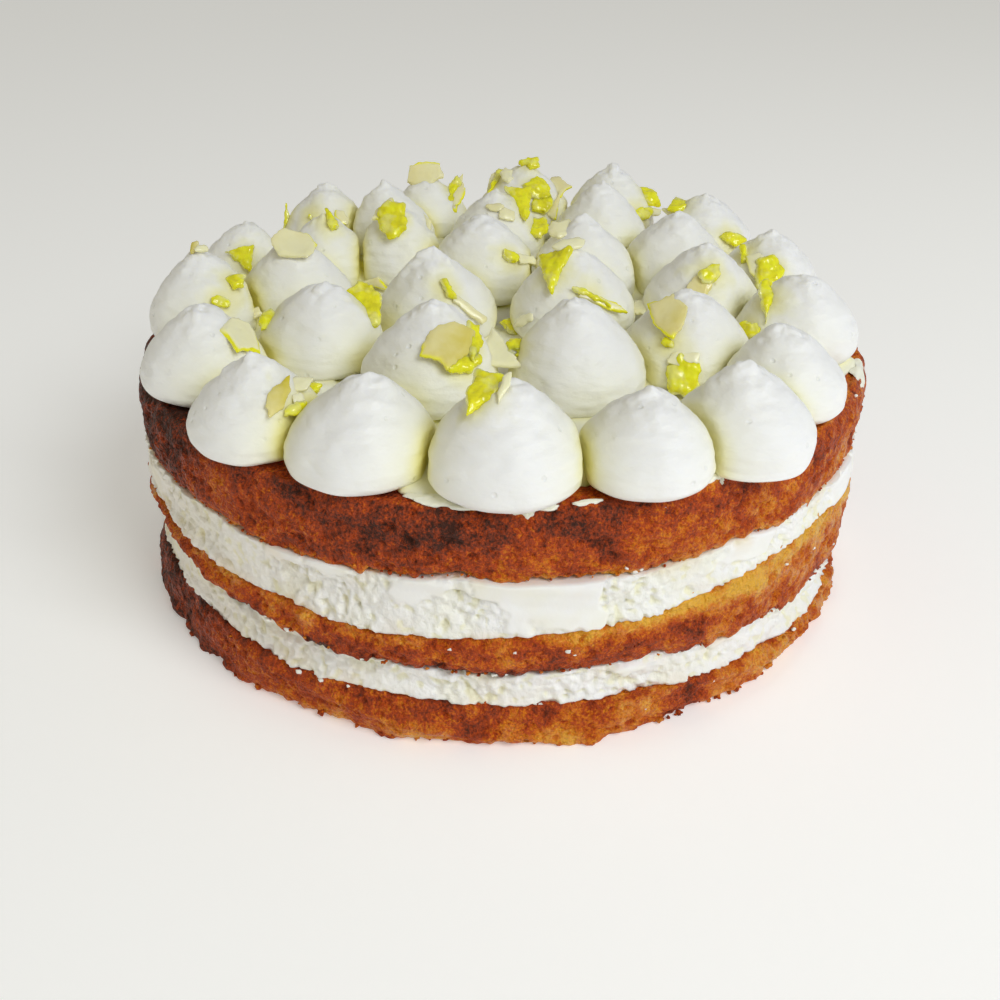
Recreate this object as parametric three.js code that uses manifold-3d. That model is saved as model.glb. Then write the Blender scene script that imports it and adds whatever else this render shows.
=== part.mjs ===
// Whole lemon parfait cake, in millimetres. It stands on z = 0 with its axis on Z and its front towards -Y.
// Three rounds of sponge hold two fillings of lemon cream, and the top is piped all over with plain cream
// kisses that press against each other. Pieces of candied lemon peel lie on the kisses, fused to the cream.

import * as THREE from "three";
import { mergeVertices } from "three/addons/utils/BufferGeometryUtils.js";
import Module from "manifold-3d";

const wasm = await Module();
wasm.setup();

const TURN = 2 * Math.PI;
const DEGREE = Math.PI / 180;

// Clearance kept between one solid and the next, and how close two vertices are before they count as one.
const GAP = 0.3;
const WELD = 1e-4;

// The cake is a little out of plumb: its middle moves along X from the foot to the top.
const CAKE_HEIGHT = 65;
const FOOT_LEAN = 0.7;
const TOP_LEAN = 1.8;

// Joints between the layers: the level at the axis, and swells that grow from the axis to the side, each
// [height, azimuth of its crest in degrees, times round]. The rag is a finer waviness along the side.
const JOINTS = {
  foot: { level: 0, swells: [], rag: 0 },
  lowerSpongeTop: { level: 11.5, swells: [[2.7, 180, 1], [2.2, 55, 2], [1.5, 63, 3]], rag: 0.5 },
  lowerCreamTop: { level: 21.7, swells: [[4.3, 184, 1], [3, 50, 2], [3.2, 67, 3]], rag: 0.5 },
  middleSpongeTop: { level: 35, swells: [[1.6, 9, 1], [1.9, 155, 2], [1.6, 93, 3]], rag: 0.6 },
  upperCreamTop: { level: 47.6, swells: [[0.6, 15, 2]], rag: 0.8 },
  top: { level: CAKE_HEIGHT, swells: [], rag: 0 },
};
const SIDE_RADIUS = 100;
const SIDE_SEGMENTS = 80;
const RAG_WAVES = 9;

// Crags of the walls: waves round the side, how far they slant up the wall, and the share of a layer's
// relief that each wave takes.
const BROAD_CRAGS = { waves: 5, slant: 1 };
const FINE_CRAGS = { waves: 13, slant: -0.12 };
const CRAG_SHARE = 0.6;

// Walls from foot to head: share of the layer's height, and how far the wall stands off the layer's radius.
const SPONGE_WALL = [[0, -0.7], [0.15, 0.2], [0.5, 0.5], [0.85, 0.1], [1, -0.8]];
const TOP_SPONGE_WALL = [[0, -0.2], [0.2, 0.4], [0.6, 0.1], [0.87, -0.7], [1, -2.6]];
const CREAM_WALL = [[0, 0.2], [0.3, -0.7], [0.7, -0.7], [1, 0.1]];

const SPONGE_COLOUR = 0xb5662c;
const CREAM_COLOUR = 0xf6f1de;
const KISS_COLOUR = 0xfbf8ee;
const DRY = 0.85;
const MOIST = 0.5;

// The layers from the bottom: name, joints under and over it, radius, wall, and relief of its crags.
const LAYERS = [
  ["sponge_bottom", "foot", "lowerSpongeTop", 99.5, SPONGE_WALL, 1.1],
  ["cream_lower", "lowerSpongeTop", "lowerCreamTop", 98.3, CREAM_WALL, 0.8],
  ["sponge_middle", "lowerCreamTop", "middleSpongeTop", 99.5, SPONGE_WALL, 0.8],
  ["cream_upper", "middleSpongeTop", "upperCreamTop", 99.2, CREAM_WALL, 0.5],
  ["sponge_top", "upperCreamTop", "top", 99, TOP_SPONGE_WALL, 0.6],
];

// The kisses, from the rim inwards: azimuth in degrees and distance from the middle of the top, greatest
// radius, height, and how far the tip leans along X.
const KISS_RINGS = [
  [270.5, 85, 17.4, 24.8, 0.5], [248, 83.5, 17.4, 22, 2.2], [229.5, 87, 15.4, 21.4, 0.5],
  [207, 83.5, 15.6, 22.8, 1], [182.5, 82, 15.2, 24.2, 1], [158.5, 83, 13.6, 21.6, 2],
  [131, 87.5, 14, 22, 1.5], [107, 87, 14, 19.4, 0.5], [85, 84.5, 16.4, 23, 0],
  [65.5, 87.5, 15.2, 24.2, 0], [41.5, 86, 15.6, 21, -0.5], [14.5, 79.5, 15.6, 21.2, 0.5],
  [348, 79.5, 16.2, 22.8, 0], [325, 83.5, 15.2, 21.4, -2], [307.5, 89.5, 16.2, 21.4, -0.5],
  [291, 87, 16, 20.4, 0.5], [247.5, 47, 17, 25.6, 2], [205, 52.5, 16.6, 22.4, 2.5],
  [171.5, 59, 16, 23.2, 0], [146, 65, 13.6, 21.2, 1.5], [120, 71, 14.4, 23.2, -2],
  [91.5, 57, 15.2, 22.6, 0], [60.5, 63, 15.6, 25.6, 0], [31.5, 60.5, 16.4, 23.4, 0.5],
  [2, 55.5, 16.6, 24, 0.5], [329, 55, 16.8, 22.4, 0], [294, 46, 17.2, 26, -1.5],
  [187.5, 18, 16.4, 23, -0.5], [353, 19.5, 17.2, 24.6, 0], [46.5, 35, 16.4, 24, -0.5],
  [101.5, 28, 16.4, 24.4, -0.5], [129.5, 49, 13.8, 24.4, -0.5],
];
const KISS_LEVELS = [0, 0.13, 0.33, 0.56, 0.78, 0.93];
const KISS_SEGMENTS = 16;

// Outline of a kiss, all as shares: width at the foot, height to which the foot swells, how full the belly
// and how steep the shoulder are, and the widest value that this gives.
const KISS_FOOT_WIDTH = 0.88;
const KISS_FOOT_HEIGHT = 0.44;
const KISS_BELLY = 1.95;
const KISS_SHOULDER = 0.97;
const KISS_WIDEST = 0.92;

// Unevenness of a kiss round its axis, and how often it is pressed against all its neighbours in turn.
const KISS_SWELLING = 0.025;
const KISS_SWELLS = 2;
const PRESSINGS = 3;

// Kisses nearer to each other than this may touch.
const KISS_REACH = 46;

// Candied lemon peel: number of the kiss under it, bearing on that kiss in degrees, share of the kiss's
// height, length, width, turn of its long side from level, azimuth that it faces, tilt, and outline.
const PITH_PIECES = [
  [17, 295, 0.68, 10, 14, 125, 295, 35, "chunk"], [17, 355, 0.41, 11, 16, 35, 270, 20, "wedge"],
  [29, 220, 0.29, 9.5, 3.5, 40, 220, 60, "leaf"], [1, 250, 0.92, 6.5, 2, 90, 250, 30, "shield"],
  [28, 310, 0.42, 11.5, 3, 120, 310, 45, "bar"], [8, 5, 0.63, 16, 8, 250, 270, 30, "wedge"],
  [8, 350, 0.6, 16, 5.5, 245, 270, 30, "leaf"], [9, 170, 0.63, 3, 13, 175, 270, 30, "leaf"],
  [9, 210, 0.81, 6.5, 4.5, 270, 270, 20, "chunk"], [9, 5, 0.61, 8, 10, 220, 270, 20, "slab"],
  [9, 320, 0.47, 13, 3.5, 255, 270, 30, "wedge"], [22, 260, 0.78, 2.5, 6, 265, 260, 35, "slab"],
  [22, 290, 0.7, 4, 5, 245, 290, 35, "bar"], [30, 185, 0.81, 8.5, 8.5, 5, 270, 20, "chunk"],
  [31, 335, 0.46, 8, 4, 330, 335, 45, "bar"], [29, 160, 0.97, 4.5, 9, 295, 270, 20, "leaf"],
  [5, 180, 0.95, 1.5, 4.5, 0, 270, 20, "bar"], [5, 320, 0.97, 4, 2.5, 160, 320, 30, "leaf"],
  [19, 290, 0.91, 12, 12, 270, 290, 30, "leaf"], [7, 305, 0.56, 7, 4.5, 95, 305, 40, "leaf"],
  [4, 345, 0.63, 10, 12, 145, 345, 40, "slab"], [5, 350, 0.25, 4, 4.5, 25, 270, 20, "bar"],
  [3, 310, 0.63, 11.5, 4.5, 215, 310, 35, "leaf"], [3, 0, 0.63, 7, 5, 0, 270, 20, "leaf"],
  [3, 335, 0.56, 4.5, 3.5, 180, 335, 40, "slab"], [32, 245, 0.12, 3.5, 12, 265, 245, 75, "wedge"],
  [32, 185, 0.86, 10.5, 3.5, 240, 270, 20, "slab"], [8, 210, 0.97, 14, 8.5, 0, 270, 60, "slab"],
  [21, 350, 0.44, 2.5, 11, 200, 270, 30, "wedge"], [29, 300, 0.5, 3, 15.5, 235, 300, 40, "leaf"],
  [25, 180, 0.19, 10, 6, 175, 180, 20, "leaf"], [11, 170, 0.62, 7, 5, 325, 270, 20, "shield"],
  [10, 330, 0.39, 7, 4, 335, 270, 20, "shield"], [12, 245, 0.62, 10.5, 6, 120, 245, 35, "shield"],
  [25, 255, 0.6, 6, 10, 185, 255, 40, "chunk"], [26, 230, 0.73, 14.5, 10, 130, 230, 30, "shield"],
  [26, 260, 0.41, 7.5, 4, 355, 260, 45, "slab"],
];
const ZEST_PIECES = [
  [17, 330, 0.61, 13, 4.5, 35, 330, 40, "shield"], [17, 305, 0.5, 10, 5.5, 5, 305, 45, "shield"],
  [29, 190, 0.07, 6.5, 5.5, 115, 270, 20, "slab"], [27, 180, 0.45, 6, 5.5, 180, 270, 20, "slab"],
  [27, 185, 0.42, 3.5, 5, 270, 270, 20, "bar"], [1, 195, 0.84, 14, 8, 65, 270, 20, "shield"],
  [28, 290, 0.66, 6, 2.5, 95, 290, 35, "bar"], [9, 0, 0.95, 7, 6.5, 355, 270, 20, "shield"],
  [8, 5, 0.65, 13, 4, 70, 270, 30, "leaf"], [9, 175, 0.68, 16, 3.5, 70, 270, 20, "wedge"],
  [9, 295, 0.69, 10, 9, 125, 295, 35, "leaf"], [9, 300, 0.53, 9, 6.5, 215, 300, 40, "shield"],
  [22, 350, 0.73, 16, 8.5, 100, 270, 30, "wedge"], [22, 345, 0.44, 5.5, 8.5, 0, 270, 20, "slab"],
  [31, 310, 0.55, 5.5, 5.5, 90, 310, 40, "leaf"], [29, 225, 0.75, 16, 10, 125, 225, 35, "wedge"],
  [6, 280, 0.56, 9, 9.5, 110, 280, 40, "wedge"], [5, 340, 0.62, 5, 6.5, 355, 270, 20, "shield"],
  [7, 190, 0.42, 11, 3.5, 270, 270, 75, "wedge"], [7, 250, 0.58, 2, 2.5, 240, 250, 40, "bar"],
  [20, 305, 0.89, 8.5, 3.5, 265, 305, 30, "shield"], [5, 305, 0.5, 2.5, 5.5, 245, 305, 45, "leaf"],
  [18, 185, 0.48, 3.5, 7.5, 355, 270, 20, "leaf"], [3, 25, 0.42, 4.5, 5, 0, 270, 20, "leaf"],
  [3, 325, 0.5, 6.5, 2.5, 355, 325, 40, "leaf"], [18, 15, 0.58, 16, 11, 120, 270, 30, "shield"],
  [32, 260, 0.81, 10, 14.5, 30, 260, 35, "leaf"], [29, 290, 0.56, 2, 10.5, 55, 290, 40, "leaf"],
  [10, 355, 0.53, 11.5, 6, 125, 270, 20, "leaf"], [11, 175, 0.73, 6, 8, 335, 270, 20, "slab"],
  [10, 310, 0.39, 3.5, 11, 270, 310, 50, "leaf"], [11, 300, 0.44, 9.5, 4.5, 330, 300, 45, "leaf"],
  [12, 200, 0.7, 7, 2.5, 270, 270, 30, "bar"], [12, 260, 0.55, 10.5, 8, 90, 260, 40, "slab"],
  [13, 200, 0.66, 14.5, 4, 85, 270, 30, "shield"], [25, 270, 0.73, 5.5, 7.5, 150, 270, 35, "leaf"],
  [26, 240, 0.53, 2, 4, 270, 240, 40, "bar"], [13, 205, 0.36, 9, 5, 180, 205, 50, "leaf"],
  [26, 260, 0.23, 9.5, 10.5, 210, 260, 65, "leaf"],
];
const PITH_THICKNESS = 1.5;
const ZEST_THICKNESS = 2.4;

// Corners of a piece of peel, as shares of its length and width.
const PEEL_OUTLINES = {
  wedge: [[-0.5, 0], [0.35, -0.5], [0.5, 0.5]],
  shield: [[-0.5, 0.05], [0.1, -0.5], [0.5, -0.2], [0.46, 0.5], [-0.15, 0.4]],
  slab: [[-0.5, -0.35], [0.1, -0.5], [0.5, -0.1], [0.4, 0.5], [-0.4, 0.4]],
  leaf: [[-0.5, -0.1], [-0.2, -0.5], [0.25, -0.4], [0.5, 0.2], [0.1, 0.5], [-0.3, 0.35]],
  bar: [[-0.5, -0.5], [0.45, -0.35], [0.5, 0.5], [-0.42, 0.4]],
  chunk: [[-0.5, -0.15], [-0.25, -0.5], [0.3, -0.4], [0.5, 0], [0.3, 0.5], [-0.1, 0.35], [-0.4, 0.45]],
};

// Steps between the seeds of one layer and the next, of one kiss and the next, and of two waves on one wall.
const LAYER_SEED = 20;
const KISS_SEED = 10;
const WAVE_SEED = 7;

// A number from 0 to 1 that looks random and is the same on every run.
function chance(seed) {
  const value = Math.sin(seed * 12.9898 + 4.1414) * 43758.5453;
  return value - Math.floor(value);
}

// A ragged line round the cake, from about -1 to 1, with three sizes of wave.
function ripple(azimuth, seed, waves) {
  const usualCrest = 1.4;
  let sum = 0;
  for (let octave = 0; octave < 3; octave++) {
    const count = waves * 2 ** octave + octave;
    sum += 0.5 ** octave * Math.cos(count * azimuth + TURN * chance(seed + octave));
  }
  return sum / usualCrest;
}

// Height of a joint at an azimuth and a distance from the axis.
function jointHeight(joint, azimuth, radius) {
  const { level, swells, rag } = JOINTS[joint];
  let swell = rag * ripple(azimuth, level, RAG_WAVES);
  for (const [height, crest, times] of swells) swell += height * Math.cos(times * (azimuth - crest * DEGREE));
  return level + (swell * radius) / SIDE_RADIUS;
}

// Puts each vertex of a lathe, known by azimuth, distance from the axis and height, at a place of its own.
function reshape(lathe, place) {
  const position = lathe.getAttribute("position");
  for (let i = 0; i < position.count; i++) {
    const distance = Math.hypot(position.getX(i), position.getZ(i));
    const azimuth = Math.atan2(-position.getZ(i), position.getX(i));
    position.setXYZ(i, ...place(distance > WELD ? azimuth : 0, distance, position.getY(i)));
  }
  return lathe;
}

// A layer is a lathe of unit height whose two faces are bent to the joints and whose wall gets its crags.
function layerGeometry(from, to, radius, wall, relief, seed) {
  const rows = wall.map(([share, offset]) => new THREE.Vector2(radius + offset, share));
  const outline = [new THREE.Vector2(0, 0), ...rows, new THREE.Vector2(0, 1)];
  const foot = from === "foot" ? 0 : GAP / 2;
  const head = to === "top" ? 0 : GAP / 2;
  return reshape(new THREE.LatheGeometry(outline, SIDE_SEGMENTS), (azimuth, distance, share) => {
    const broad = ripple(azimuth + BROAD_CRAGS.slant * share, seed, BROAD_CRAGS.waves);
    const fine = ripple(azimuth + FINE_CRAGS.slant * share, seed + WAVE_SEED, FINE_CRAGS.waves);
    const crags = CRAG_SHARE * relief * (broad + fine);
    const low = jointHeight(from, azimuth, distance) + foot;
    const high = jointHeight(to, azimuth, distance) - head;
    const height = low + (high - low) * share;
    const lean = FOOT_LEAN + ((TOP_LEAN - FOOT_LEAN) * height) / CAKE_HEIGHT;
    const out = distance ? distance + crags + lean * Math.cos(azimuth) : 0;
    return [out * Math.cos(azimuth), out * Math.sin(azimuth), height];
  });
}

// Place and size of every kiss.
const KISSES = KISS_RINGS.map(([azimuth, distance, radius, height, lean], index) => ({
  name: "kiss_" + String(index + 1).padStart(2, "0"),
  seed: KISS_SEED * index,
  x: TOP_LEAN + distance * Math.cos(azimuth * DEGREE),
  y: distance * Math.sin(azimuth * DEGREE),
  radius,
  height,
  lean,
}));

// Radius of a kiss at a share of its height, as a share of its greatest radius: a foot that draws in a
// little, a full belly low down, and a shoulder that closes in to the tip.
function kissWidth(share) {
  const swollen = Math.sin((Math.min(share / KISS_FOOT_HEIGHT, 1) * Math.PI) / 2);
  const foot = KISS_FOOT_WIDTH + (1 - KISS_FOOT_WIDTH) * swollen;
  return (foot * Math.max(0, 1 - share ** KISS_BELLY) ** KISS_SHOULDER) / KISS_WIDEST;
}

// The upright planes on which a kiss meets its neighbours: unit direction to each, and distance along it.
function contactPlanes(kiss) {
  const planes = [];
  for (const other of KISSES) {
    const apart = Math.hypot(other.x - kiss.x, other.y - kiss.y);
    if (other === kiss || apart > KISS_REACH) continue;
    const reach = (apart ** 2 + kiss.radius ** 2 - other.radius ** 2) / (2 * apart);
    planes.push({ nx: (other.x - kiss.x) / apart, ny: (other.y - kiss.y) / apart, reach: reach - GAP / 2 });
  }
  return planes;
}

// A kiss is a lathe that leans, swells a little unevenly and is pressed flat where it meets a neighbour.
function kissGeometry(kiss, planes) {
  const rows = KISS_LEVELS.map((share) => new THREE.Vector2(kissWidth(share) * kiss.radius, share));
  const outline = [new THREE.Vector2(0, 0), ...rows, new THREE.Vector2(0, 1)];
  return reshape(new THREE.LatheGeometry(outline, KISS_SEGMENTS), (azimuth, distance, share) => {
    const swelling = 1 + KISS_SWELLING * ripple(azimuth, kiss.seed, KISS_SWELLS);
    let x = distance * swelling * Math.cos(azimuth) + kiss.lean * share ** 2;
    let y = distance * swelling * Math.sin(azimuth);
    for (let pass = 0; pass < PRESSINGS; pass++) {
      for (const { nx, ny, reach } of planes) {
        const past = Math.max(0, x * nx + y * ny - reach);
        x -= past * nx;
        y -= past * ny;
      }
    }
    return [kiss.x + x, kiss.y + y, CAKE_HEIGHT + GAP + kiss.height * share];
  });
}

// A piece of peel is a thin angular plate that lies half sunk in the cream of its kiss.
function peelSolid([number, bearing, share, length, width, turn, facing, tilt, outline], thickness) {
  const corners = PEEL_OUTLINES[outline].map(([x, y]) => new THREE.Vector2(x * length, y * width));
  const shape = new THREE.Shape(corners);
  const plate = new THREE.ExtrudeGeometry(shape, { depth: thickness, bevelEnabled: false });
  const lie = Math.cos(facing * DEGREE);
  const way = Math.sin(facing * DEGREE);
  const steep = Math.sin(tilt * DEGREE);
  const normal = new THREE.Vector3(steep * lie, steep * way, Math.cos(tilt * DEGREE));
  const level = new THREE.Vector3(-way, lie, 0);
  const slope = normal.clone().cross(level);
  const kiss = KISSES[number - 1];
  const radius = kissWidth(share) * kiss.radius;
  const spot = new THREE.Vector3(
    kiss.x + kiss.lean * share ** 2 + radius * Math.cos(bearing * DEGREE),
    kiss.y + radius * Math.sin(bearing * DEGREE),
    CAKE_HEIGHT + GAP + kiss.height * share,
  );
  plate.rotateZ(turn * DEGREE);
  plate.translate(0, 0, -thickness / 4);
  plate.applyMatrix4(new THREE.Matrix4().makeBasis(level, slope, normal).setPosition(spot));
  return solidOf(plate);
}

// A closed geometry as a solid.
function solidOf(geometry) {
  const bare = geometry.clone().deleteAttribute("normal").deleteAttribute("uv");
  const merged = mergeVertices(bare, WELD);
  const vertProperties = merged.getAttribute("position").array;
  const triVerts = new Uint32Array(merged.index.array);
  return new wasm.Manifold(new wasm.Mesh({ numProp: 3, vertProperties, triVerts }));
}

// A solid as a geometry.
function geometryOf(solid) {
  const mesh = solid.getMesh();
  const geometry = new THREE.BufferGeometry();
  geometry.setAttribute("position", new THREE.BufferAttribute(mesh.vertProperties, 3));
  geometry.setIndex(new THREE.BufferAttribute(mesh.triVerts, 1));
  geometry.computeVertexNormals();
  return geometry;
}

// A kiss with the peel that lies on it, cut off where the next kiss begins.
function dressedKiss(kiss, number) {
  const planes = contactPlanes(kiss);
  const own = [
    ...PITH_PIECES.map((piece) => [piece, PITH_THICKNESS]),
    ...ZEST_PIECES.map((piece) => [piece, ZEST_THICKNESS]),
  ].filter(([piece]) => piece[0] === number);
  let solid = solidOf(kissGeometry(kiss, planes));
  for (const [piece, thickness] of own) {
    let plate = peelSolid(piece, thickness);
    for (const { nx, ny, reach } of planes) {
      plate = plate.trimByPlane([-nx, -ny, 0], -(nx * kiss.x + ny * kiss.y + reach));
    }
    solid = solid.add(plate);
  }
  return solid.decompose().sort((a, b) => b.volume() - a.volume())[0];
}

// A mesh with its name and a plain material.
function named(name, geometry, color, roughness) {
  const mesh = new THREE.Mesh(geometry, new THREE.MeshStandardMaterial({ color, roughness, metalness: 0 }));
  mesh.name = name;
  return mesh;
}

const cake = new THREE.Group();
LAYERS.forEach(([name, from, to, radius, wall, relief], index) => {
  const geometry = layerGeometry(from, to, radius, wall, relief, LAYER_SEED * (index + 1));
  const sponge = name.startsWith("sponge");
  cake.add(named(name, geometry, sponge ? SPONGE_COLOUR : CREAM_COLOUR, sponge ? DRY : MOIST));
});
KISSES.forEach((kiss, index) => {
  const geometry = geometryOf(dressedKiss(kiss, index + 1));
  cake.add(named(kiss.name, geometry, KISS_COLOUR, MOIST));
});

export default cake;
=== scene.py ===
import functools
import itertools
import math

import bpy
import numpy as np
from mathutils import Matrix, Vector


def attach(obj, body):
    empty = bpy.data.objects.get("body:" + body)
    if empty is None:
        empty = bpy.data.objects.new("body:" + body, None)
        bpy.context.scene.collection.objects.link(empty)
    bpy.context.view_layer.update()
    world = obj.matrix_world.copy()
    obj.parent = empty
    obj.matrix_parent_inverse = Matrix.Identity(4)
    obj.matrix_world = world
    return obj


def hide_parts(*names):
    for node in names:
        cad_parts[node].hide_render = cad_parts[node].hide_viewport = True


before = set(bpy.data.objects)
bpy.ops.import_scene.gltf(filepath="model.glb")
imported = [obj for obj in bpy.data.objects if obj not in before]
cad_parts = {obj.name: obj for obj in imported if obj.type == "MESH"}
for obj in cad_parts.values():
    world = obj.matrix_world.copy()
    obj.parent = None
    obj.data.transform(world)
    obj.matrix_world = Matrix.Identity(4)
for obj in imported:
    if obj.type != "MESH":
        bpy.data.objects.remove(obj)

bl_info = {
    "name": "Lemon parfait cake",
    "version": (1, 0, 0),
    "blender": (4, 5, 0),
    "location": "View3D > Sidebar > Cake",
    "description": "Dresses a layer cake with baked sponge, lemon cream, piped kisses and candied peel",
    "category": "Add Mesh",
}

MM = 0.001
TURN = 2 * math.pi
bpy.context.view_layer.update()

# Sizes of the cake are millimetres. The gap is the clearance between one solid and the next. The cake leans a
# little: its middle moves along X from the foot to the top.
GAP = 0.3
CAKE_HEIGHT = 65
FOOT_LEAN = 0.7
TOP_LEAN = 1.8
SIDE_RADIUS = 100

# Joints between the layers: level at the axis, waviness along the side, and swells that grow towards the
# side, each (height, azimuth of its crest in degrees, times round).
JOINTS = {
    "foot": (0, 0, ()),
    "lower_sponge_top": (11.5, 0.5, ((2.7, 180, 1), (2.2, 55, 2), (1.5, 63, 3))),
    "lower_cream_top": (21.7, 0.5, ((4.3, 184, 1), (3, 50, 2), (3.2, 67, 3))),
    "middle_sponge_top": (35, 0.6, ((1.6, 9, 1), (1.9, 155, 2), (1.6, 93, 3))),
    "upper_cream_top": (47.6, 0.8, ((0.6, 15, 2),)),
    "top": (CAKE_HEIGHT, 0, ()),
}
RAG_WAVES = 9

# Crags of the walls, broad and fine: waves round the side, and how far they slant up the wall. Then the share
# of a layer's relief that each wave takes, and the step between their seeds.
CRAGS = ((5, 1), (13, -0.12))
CRAG_SHARE = 0.6
WAVE_SEED = 7

# Walls from foot to head: share of the layer's height, and how far the wall stands off the layer's radius.
SPONGE_WALL = ((0, -0.7), (0.15, 0.2), (0.5, 0.5), (0.85, 0.1), (1, -0.8))
TOP_SPONGE_WALL = ((0, -0.2), (0.2, 0.4), (0.6, 0.1), (0.87, -0.7), (1, -2.6))
CREAM_WALL = ((0, 0.2), (0.3, -0.7), (0.7, -0.7), (1, 0.1))

# Share of the height over which the corners of a wall's outline are rounded, and in how many steps.
WALL_ROUNDING = 0.13
ROUNDING_STEPS = 11

# Each layer: joints under and over it, radius, wall, relief of its crags, seed and rows of faces up its wall.
SPONGES = {
    "sponge_bottom": ("foot", "lower_sponge_top", 99.5, SPONGE_WALL, 1.1, 20, 26),
    "sponge_middle": ("lower_cream_top", "middle_sponge_top", 99.5, SPONGE_WALL, 0.8, 60, 30),
    "sponge_top": ("upper_cream_top", "top", 99, TOP_SPONGE_WALL, 0.6, 100, 38),
}
CREAMS = {
    "cream_lower": ("lower_sponge_top", "lower_cream_top", 98.3, CREAM_WALL, 0.8, 40, 24),
    "cream_upper": ("middle_sponge_top", "upper_cream_top", 99.2, CREAM_WALL, 0.5, 80, 28),
}
WALL_COLUMNS = 1400

# Widths of the rings of faces from the rim inwards, as shares of the radius: where a layer lies hidden, and
# on the top of the cake.
FACE_RINGS = (0.01, 0.02)
TOP_RINGS = (0.005,) * 12 + (0.016,) * 4

# Depth of the crevices and holes of the sponge, as shares of the crumb relief.
CREVICE_DEPTH = 1.3
HOLE_DEPTH = 0.9

# Patches of each layer where the crust is lighter or darker: azimuth in degrees, level, half width, half
# height and change.
BAKE_PATCHES = {
    "sponge_top": (
        (229, 58, 8, 5, -0.22), (236, 56, 5, 4, -0.2), (262, 58, 14, 4, 0.1), (274, 53, 10, 4, -0.1),
        (284, 61, 10, 3, 0.14), (299, 60, 9, 4, 0.1), (305, 57, 7, 4, -0.12), (320, 58, 14, 4, 0.08),
        (30, 57, 20, 5, -0.12), (80, 60, 24, 4, 0.1), (130, 55, 16, 5, -0.14),
    ),
    "sponge_middle": (
        (262, 29, 16, 4, 0.06), (281, 33, 7, 2.4, -0.24), (292, 33.5, 8, 2.6, -0.34),
        (267, 33, 7, 1.6, -0.2), (303, 33, 10, 3, -0.16), (297, 27.5, 10, 2, 0.14), (318, 33, 12, 4, -0.08),
        (258, 35, 8, 2, -0.2), (60, 33, 24, 4, -0.12), (120, 30, 18, 4, 0.1),
    ),
    "sponge_bottom": (
        (265, 7, 5, 4, 0.2), (258, 5, 7, 4, -0.12), (278, 2, 9, 3, -0.34), (290, 6, 6, 6, -0.24),
        (297, 7, 5, 5, 0.12), (305, 4, 6, 3, -0.12), (45, 3, 14, 4, -0.25), (100, 6, 12, 4, 0.15),
        (150, 3, 12, 3, -0.2),
    ),
}

# Where the joint under the middle sponge gapes: azimuth, half width and depth.
GAPING_JOINT = ((230.5, 5, 2.2), (245.5, 4.5, 2), (264, 4, 1), (271, 5, 1.2))

# The kisses from the rim inwards: azimuth in degrees and distance from the middle of the top, greatest
# radius, height, and how far the tip leans along X.
KISS_RINGS = (
    (270.5, 85, 17.4, 24.8, 0.5), (248, 83.5, 17.4, 22, 2.2), (229.5, 87, 15.4, 21.4, 0.5),
    (207, 83.5, 15.6, 22.8, 1), (182.5, 82, 15.2, 24.2, 1), (158.5, 83, 13.6, 21.6, 2),
    (131, 87.5, 14, 22, 1.5), (107, 87, 14, 19.4, 0.5), (85, 84.5, 16.4, 23, 0),
    (65.5, 87.5, 15.2, 24.2, 0), (41.5, 86, 15.6, 21, -0.5), (14.5, 79.5, 15.6, 21.2, 0.5),
    (348, 79.5, 16.2, 22.8, 0), (325, 83.5, 15.2, 21.4, -2), (307.5, 89.5, 16.2, 21.4, -0.5),
    (291, 87, 16, 20.4, 0.5), (247.5, 47, 17, 25.6, 2), (205, 52.5, 16.6, 22.4, 2.5),
    (171.5, 59, 16, 23.2, 0), (146, 65, 13.6, 21.2, 1.5), (120, 71, 14.4, 23.2, -2),
    (91.5, 57, 15.2, 22.6, 0), (60.5, 63, 15.6, 25.6, 0), (31.5, 60.5, 16.4, 23.4, 0.5),
    (2, 55.5, 16.6, 24, 0.5), (329, 55, 16.8, 22.4, 0), (294, 46, 17.2, 26, -1.5),
    (187.5, 18, 16.4, 23, -0.5), (353, 19.5, 17.2, 24.6, 0), (46.5, 35, 16.4, 24, -0.5),
    (101.5, 28, 16.4, 24.4, -0.5), (129.5, 49, 13.8, 24.4, -0.5),
)

# Kisses nearer to each other than this may touch. Then in how many rounds they are pressed flat, how soft the
# edge of a flat is, and how far from it painted shade tints the cream lemon.
KISS_REACH = 46
PRESSINGS = 3
PRESS_SOFTNESS = 1.4
CREASE_SHADE_REACH = 2.2

# Outline of a kiss, all as shares: width at the foot, height to which the foot swells, how full the belly
# and how steep the shoulder are, and the widest value that this gives.
KISS_FOOT_WIDTH = 0.88
KISS_FOOT_HEIGHT = 0.44
KISS_BELLY = 1.95
KISS_SHOULDER = 0.97
KISS_WIDEST = 0.92

# How far the foot is tucked in under a kiss and up to what height, both as shares.
KISS_TUCK = 0.11
KISS_TUCK_HEIGHT = 0.12

# Unevenness of a kiss round its axis, and how often it swells. The ridges that the nozzle leaves: depth,
# and how far they go on from foot to tip and wander round the kiss, in radians.
KISS_SWELLING = 0.025
KISS_SWELLS = 2
RIDGE_DEPTH = 0.16
RIDGE_ROUNDS = 20
RIDGE_DRIFT = 3

# Tip of a kiss: radius over which it is blunt, radius of the nub beside it and how far aside that stands, and
# how far down from the tip the cream is wrinkled most.
BLUNT_RADIUS = 2.8
NUB_RADIUS = 1.1
NUB_ASIDE = 0.9
TIP_REACH = 7

# Segments and rings of a kiss, rings on the underside of its foot, and step between the seeds of two kisses.
KISS_SEGMENTS = 120
KISS_RINGS_UP = 88
KISS_FOOT_RINGS = 8
KISS_SEED = 10

# How many mm deep light goes into the thick cream of a kiss and into thinly spread cream.
KISS_GLOW = 3
FILM_GLOW = 0.5

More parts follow.
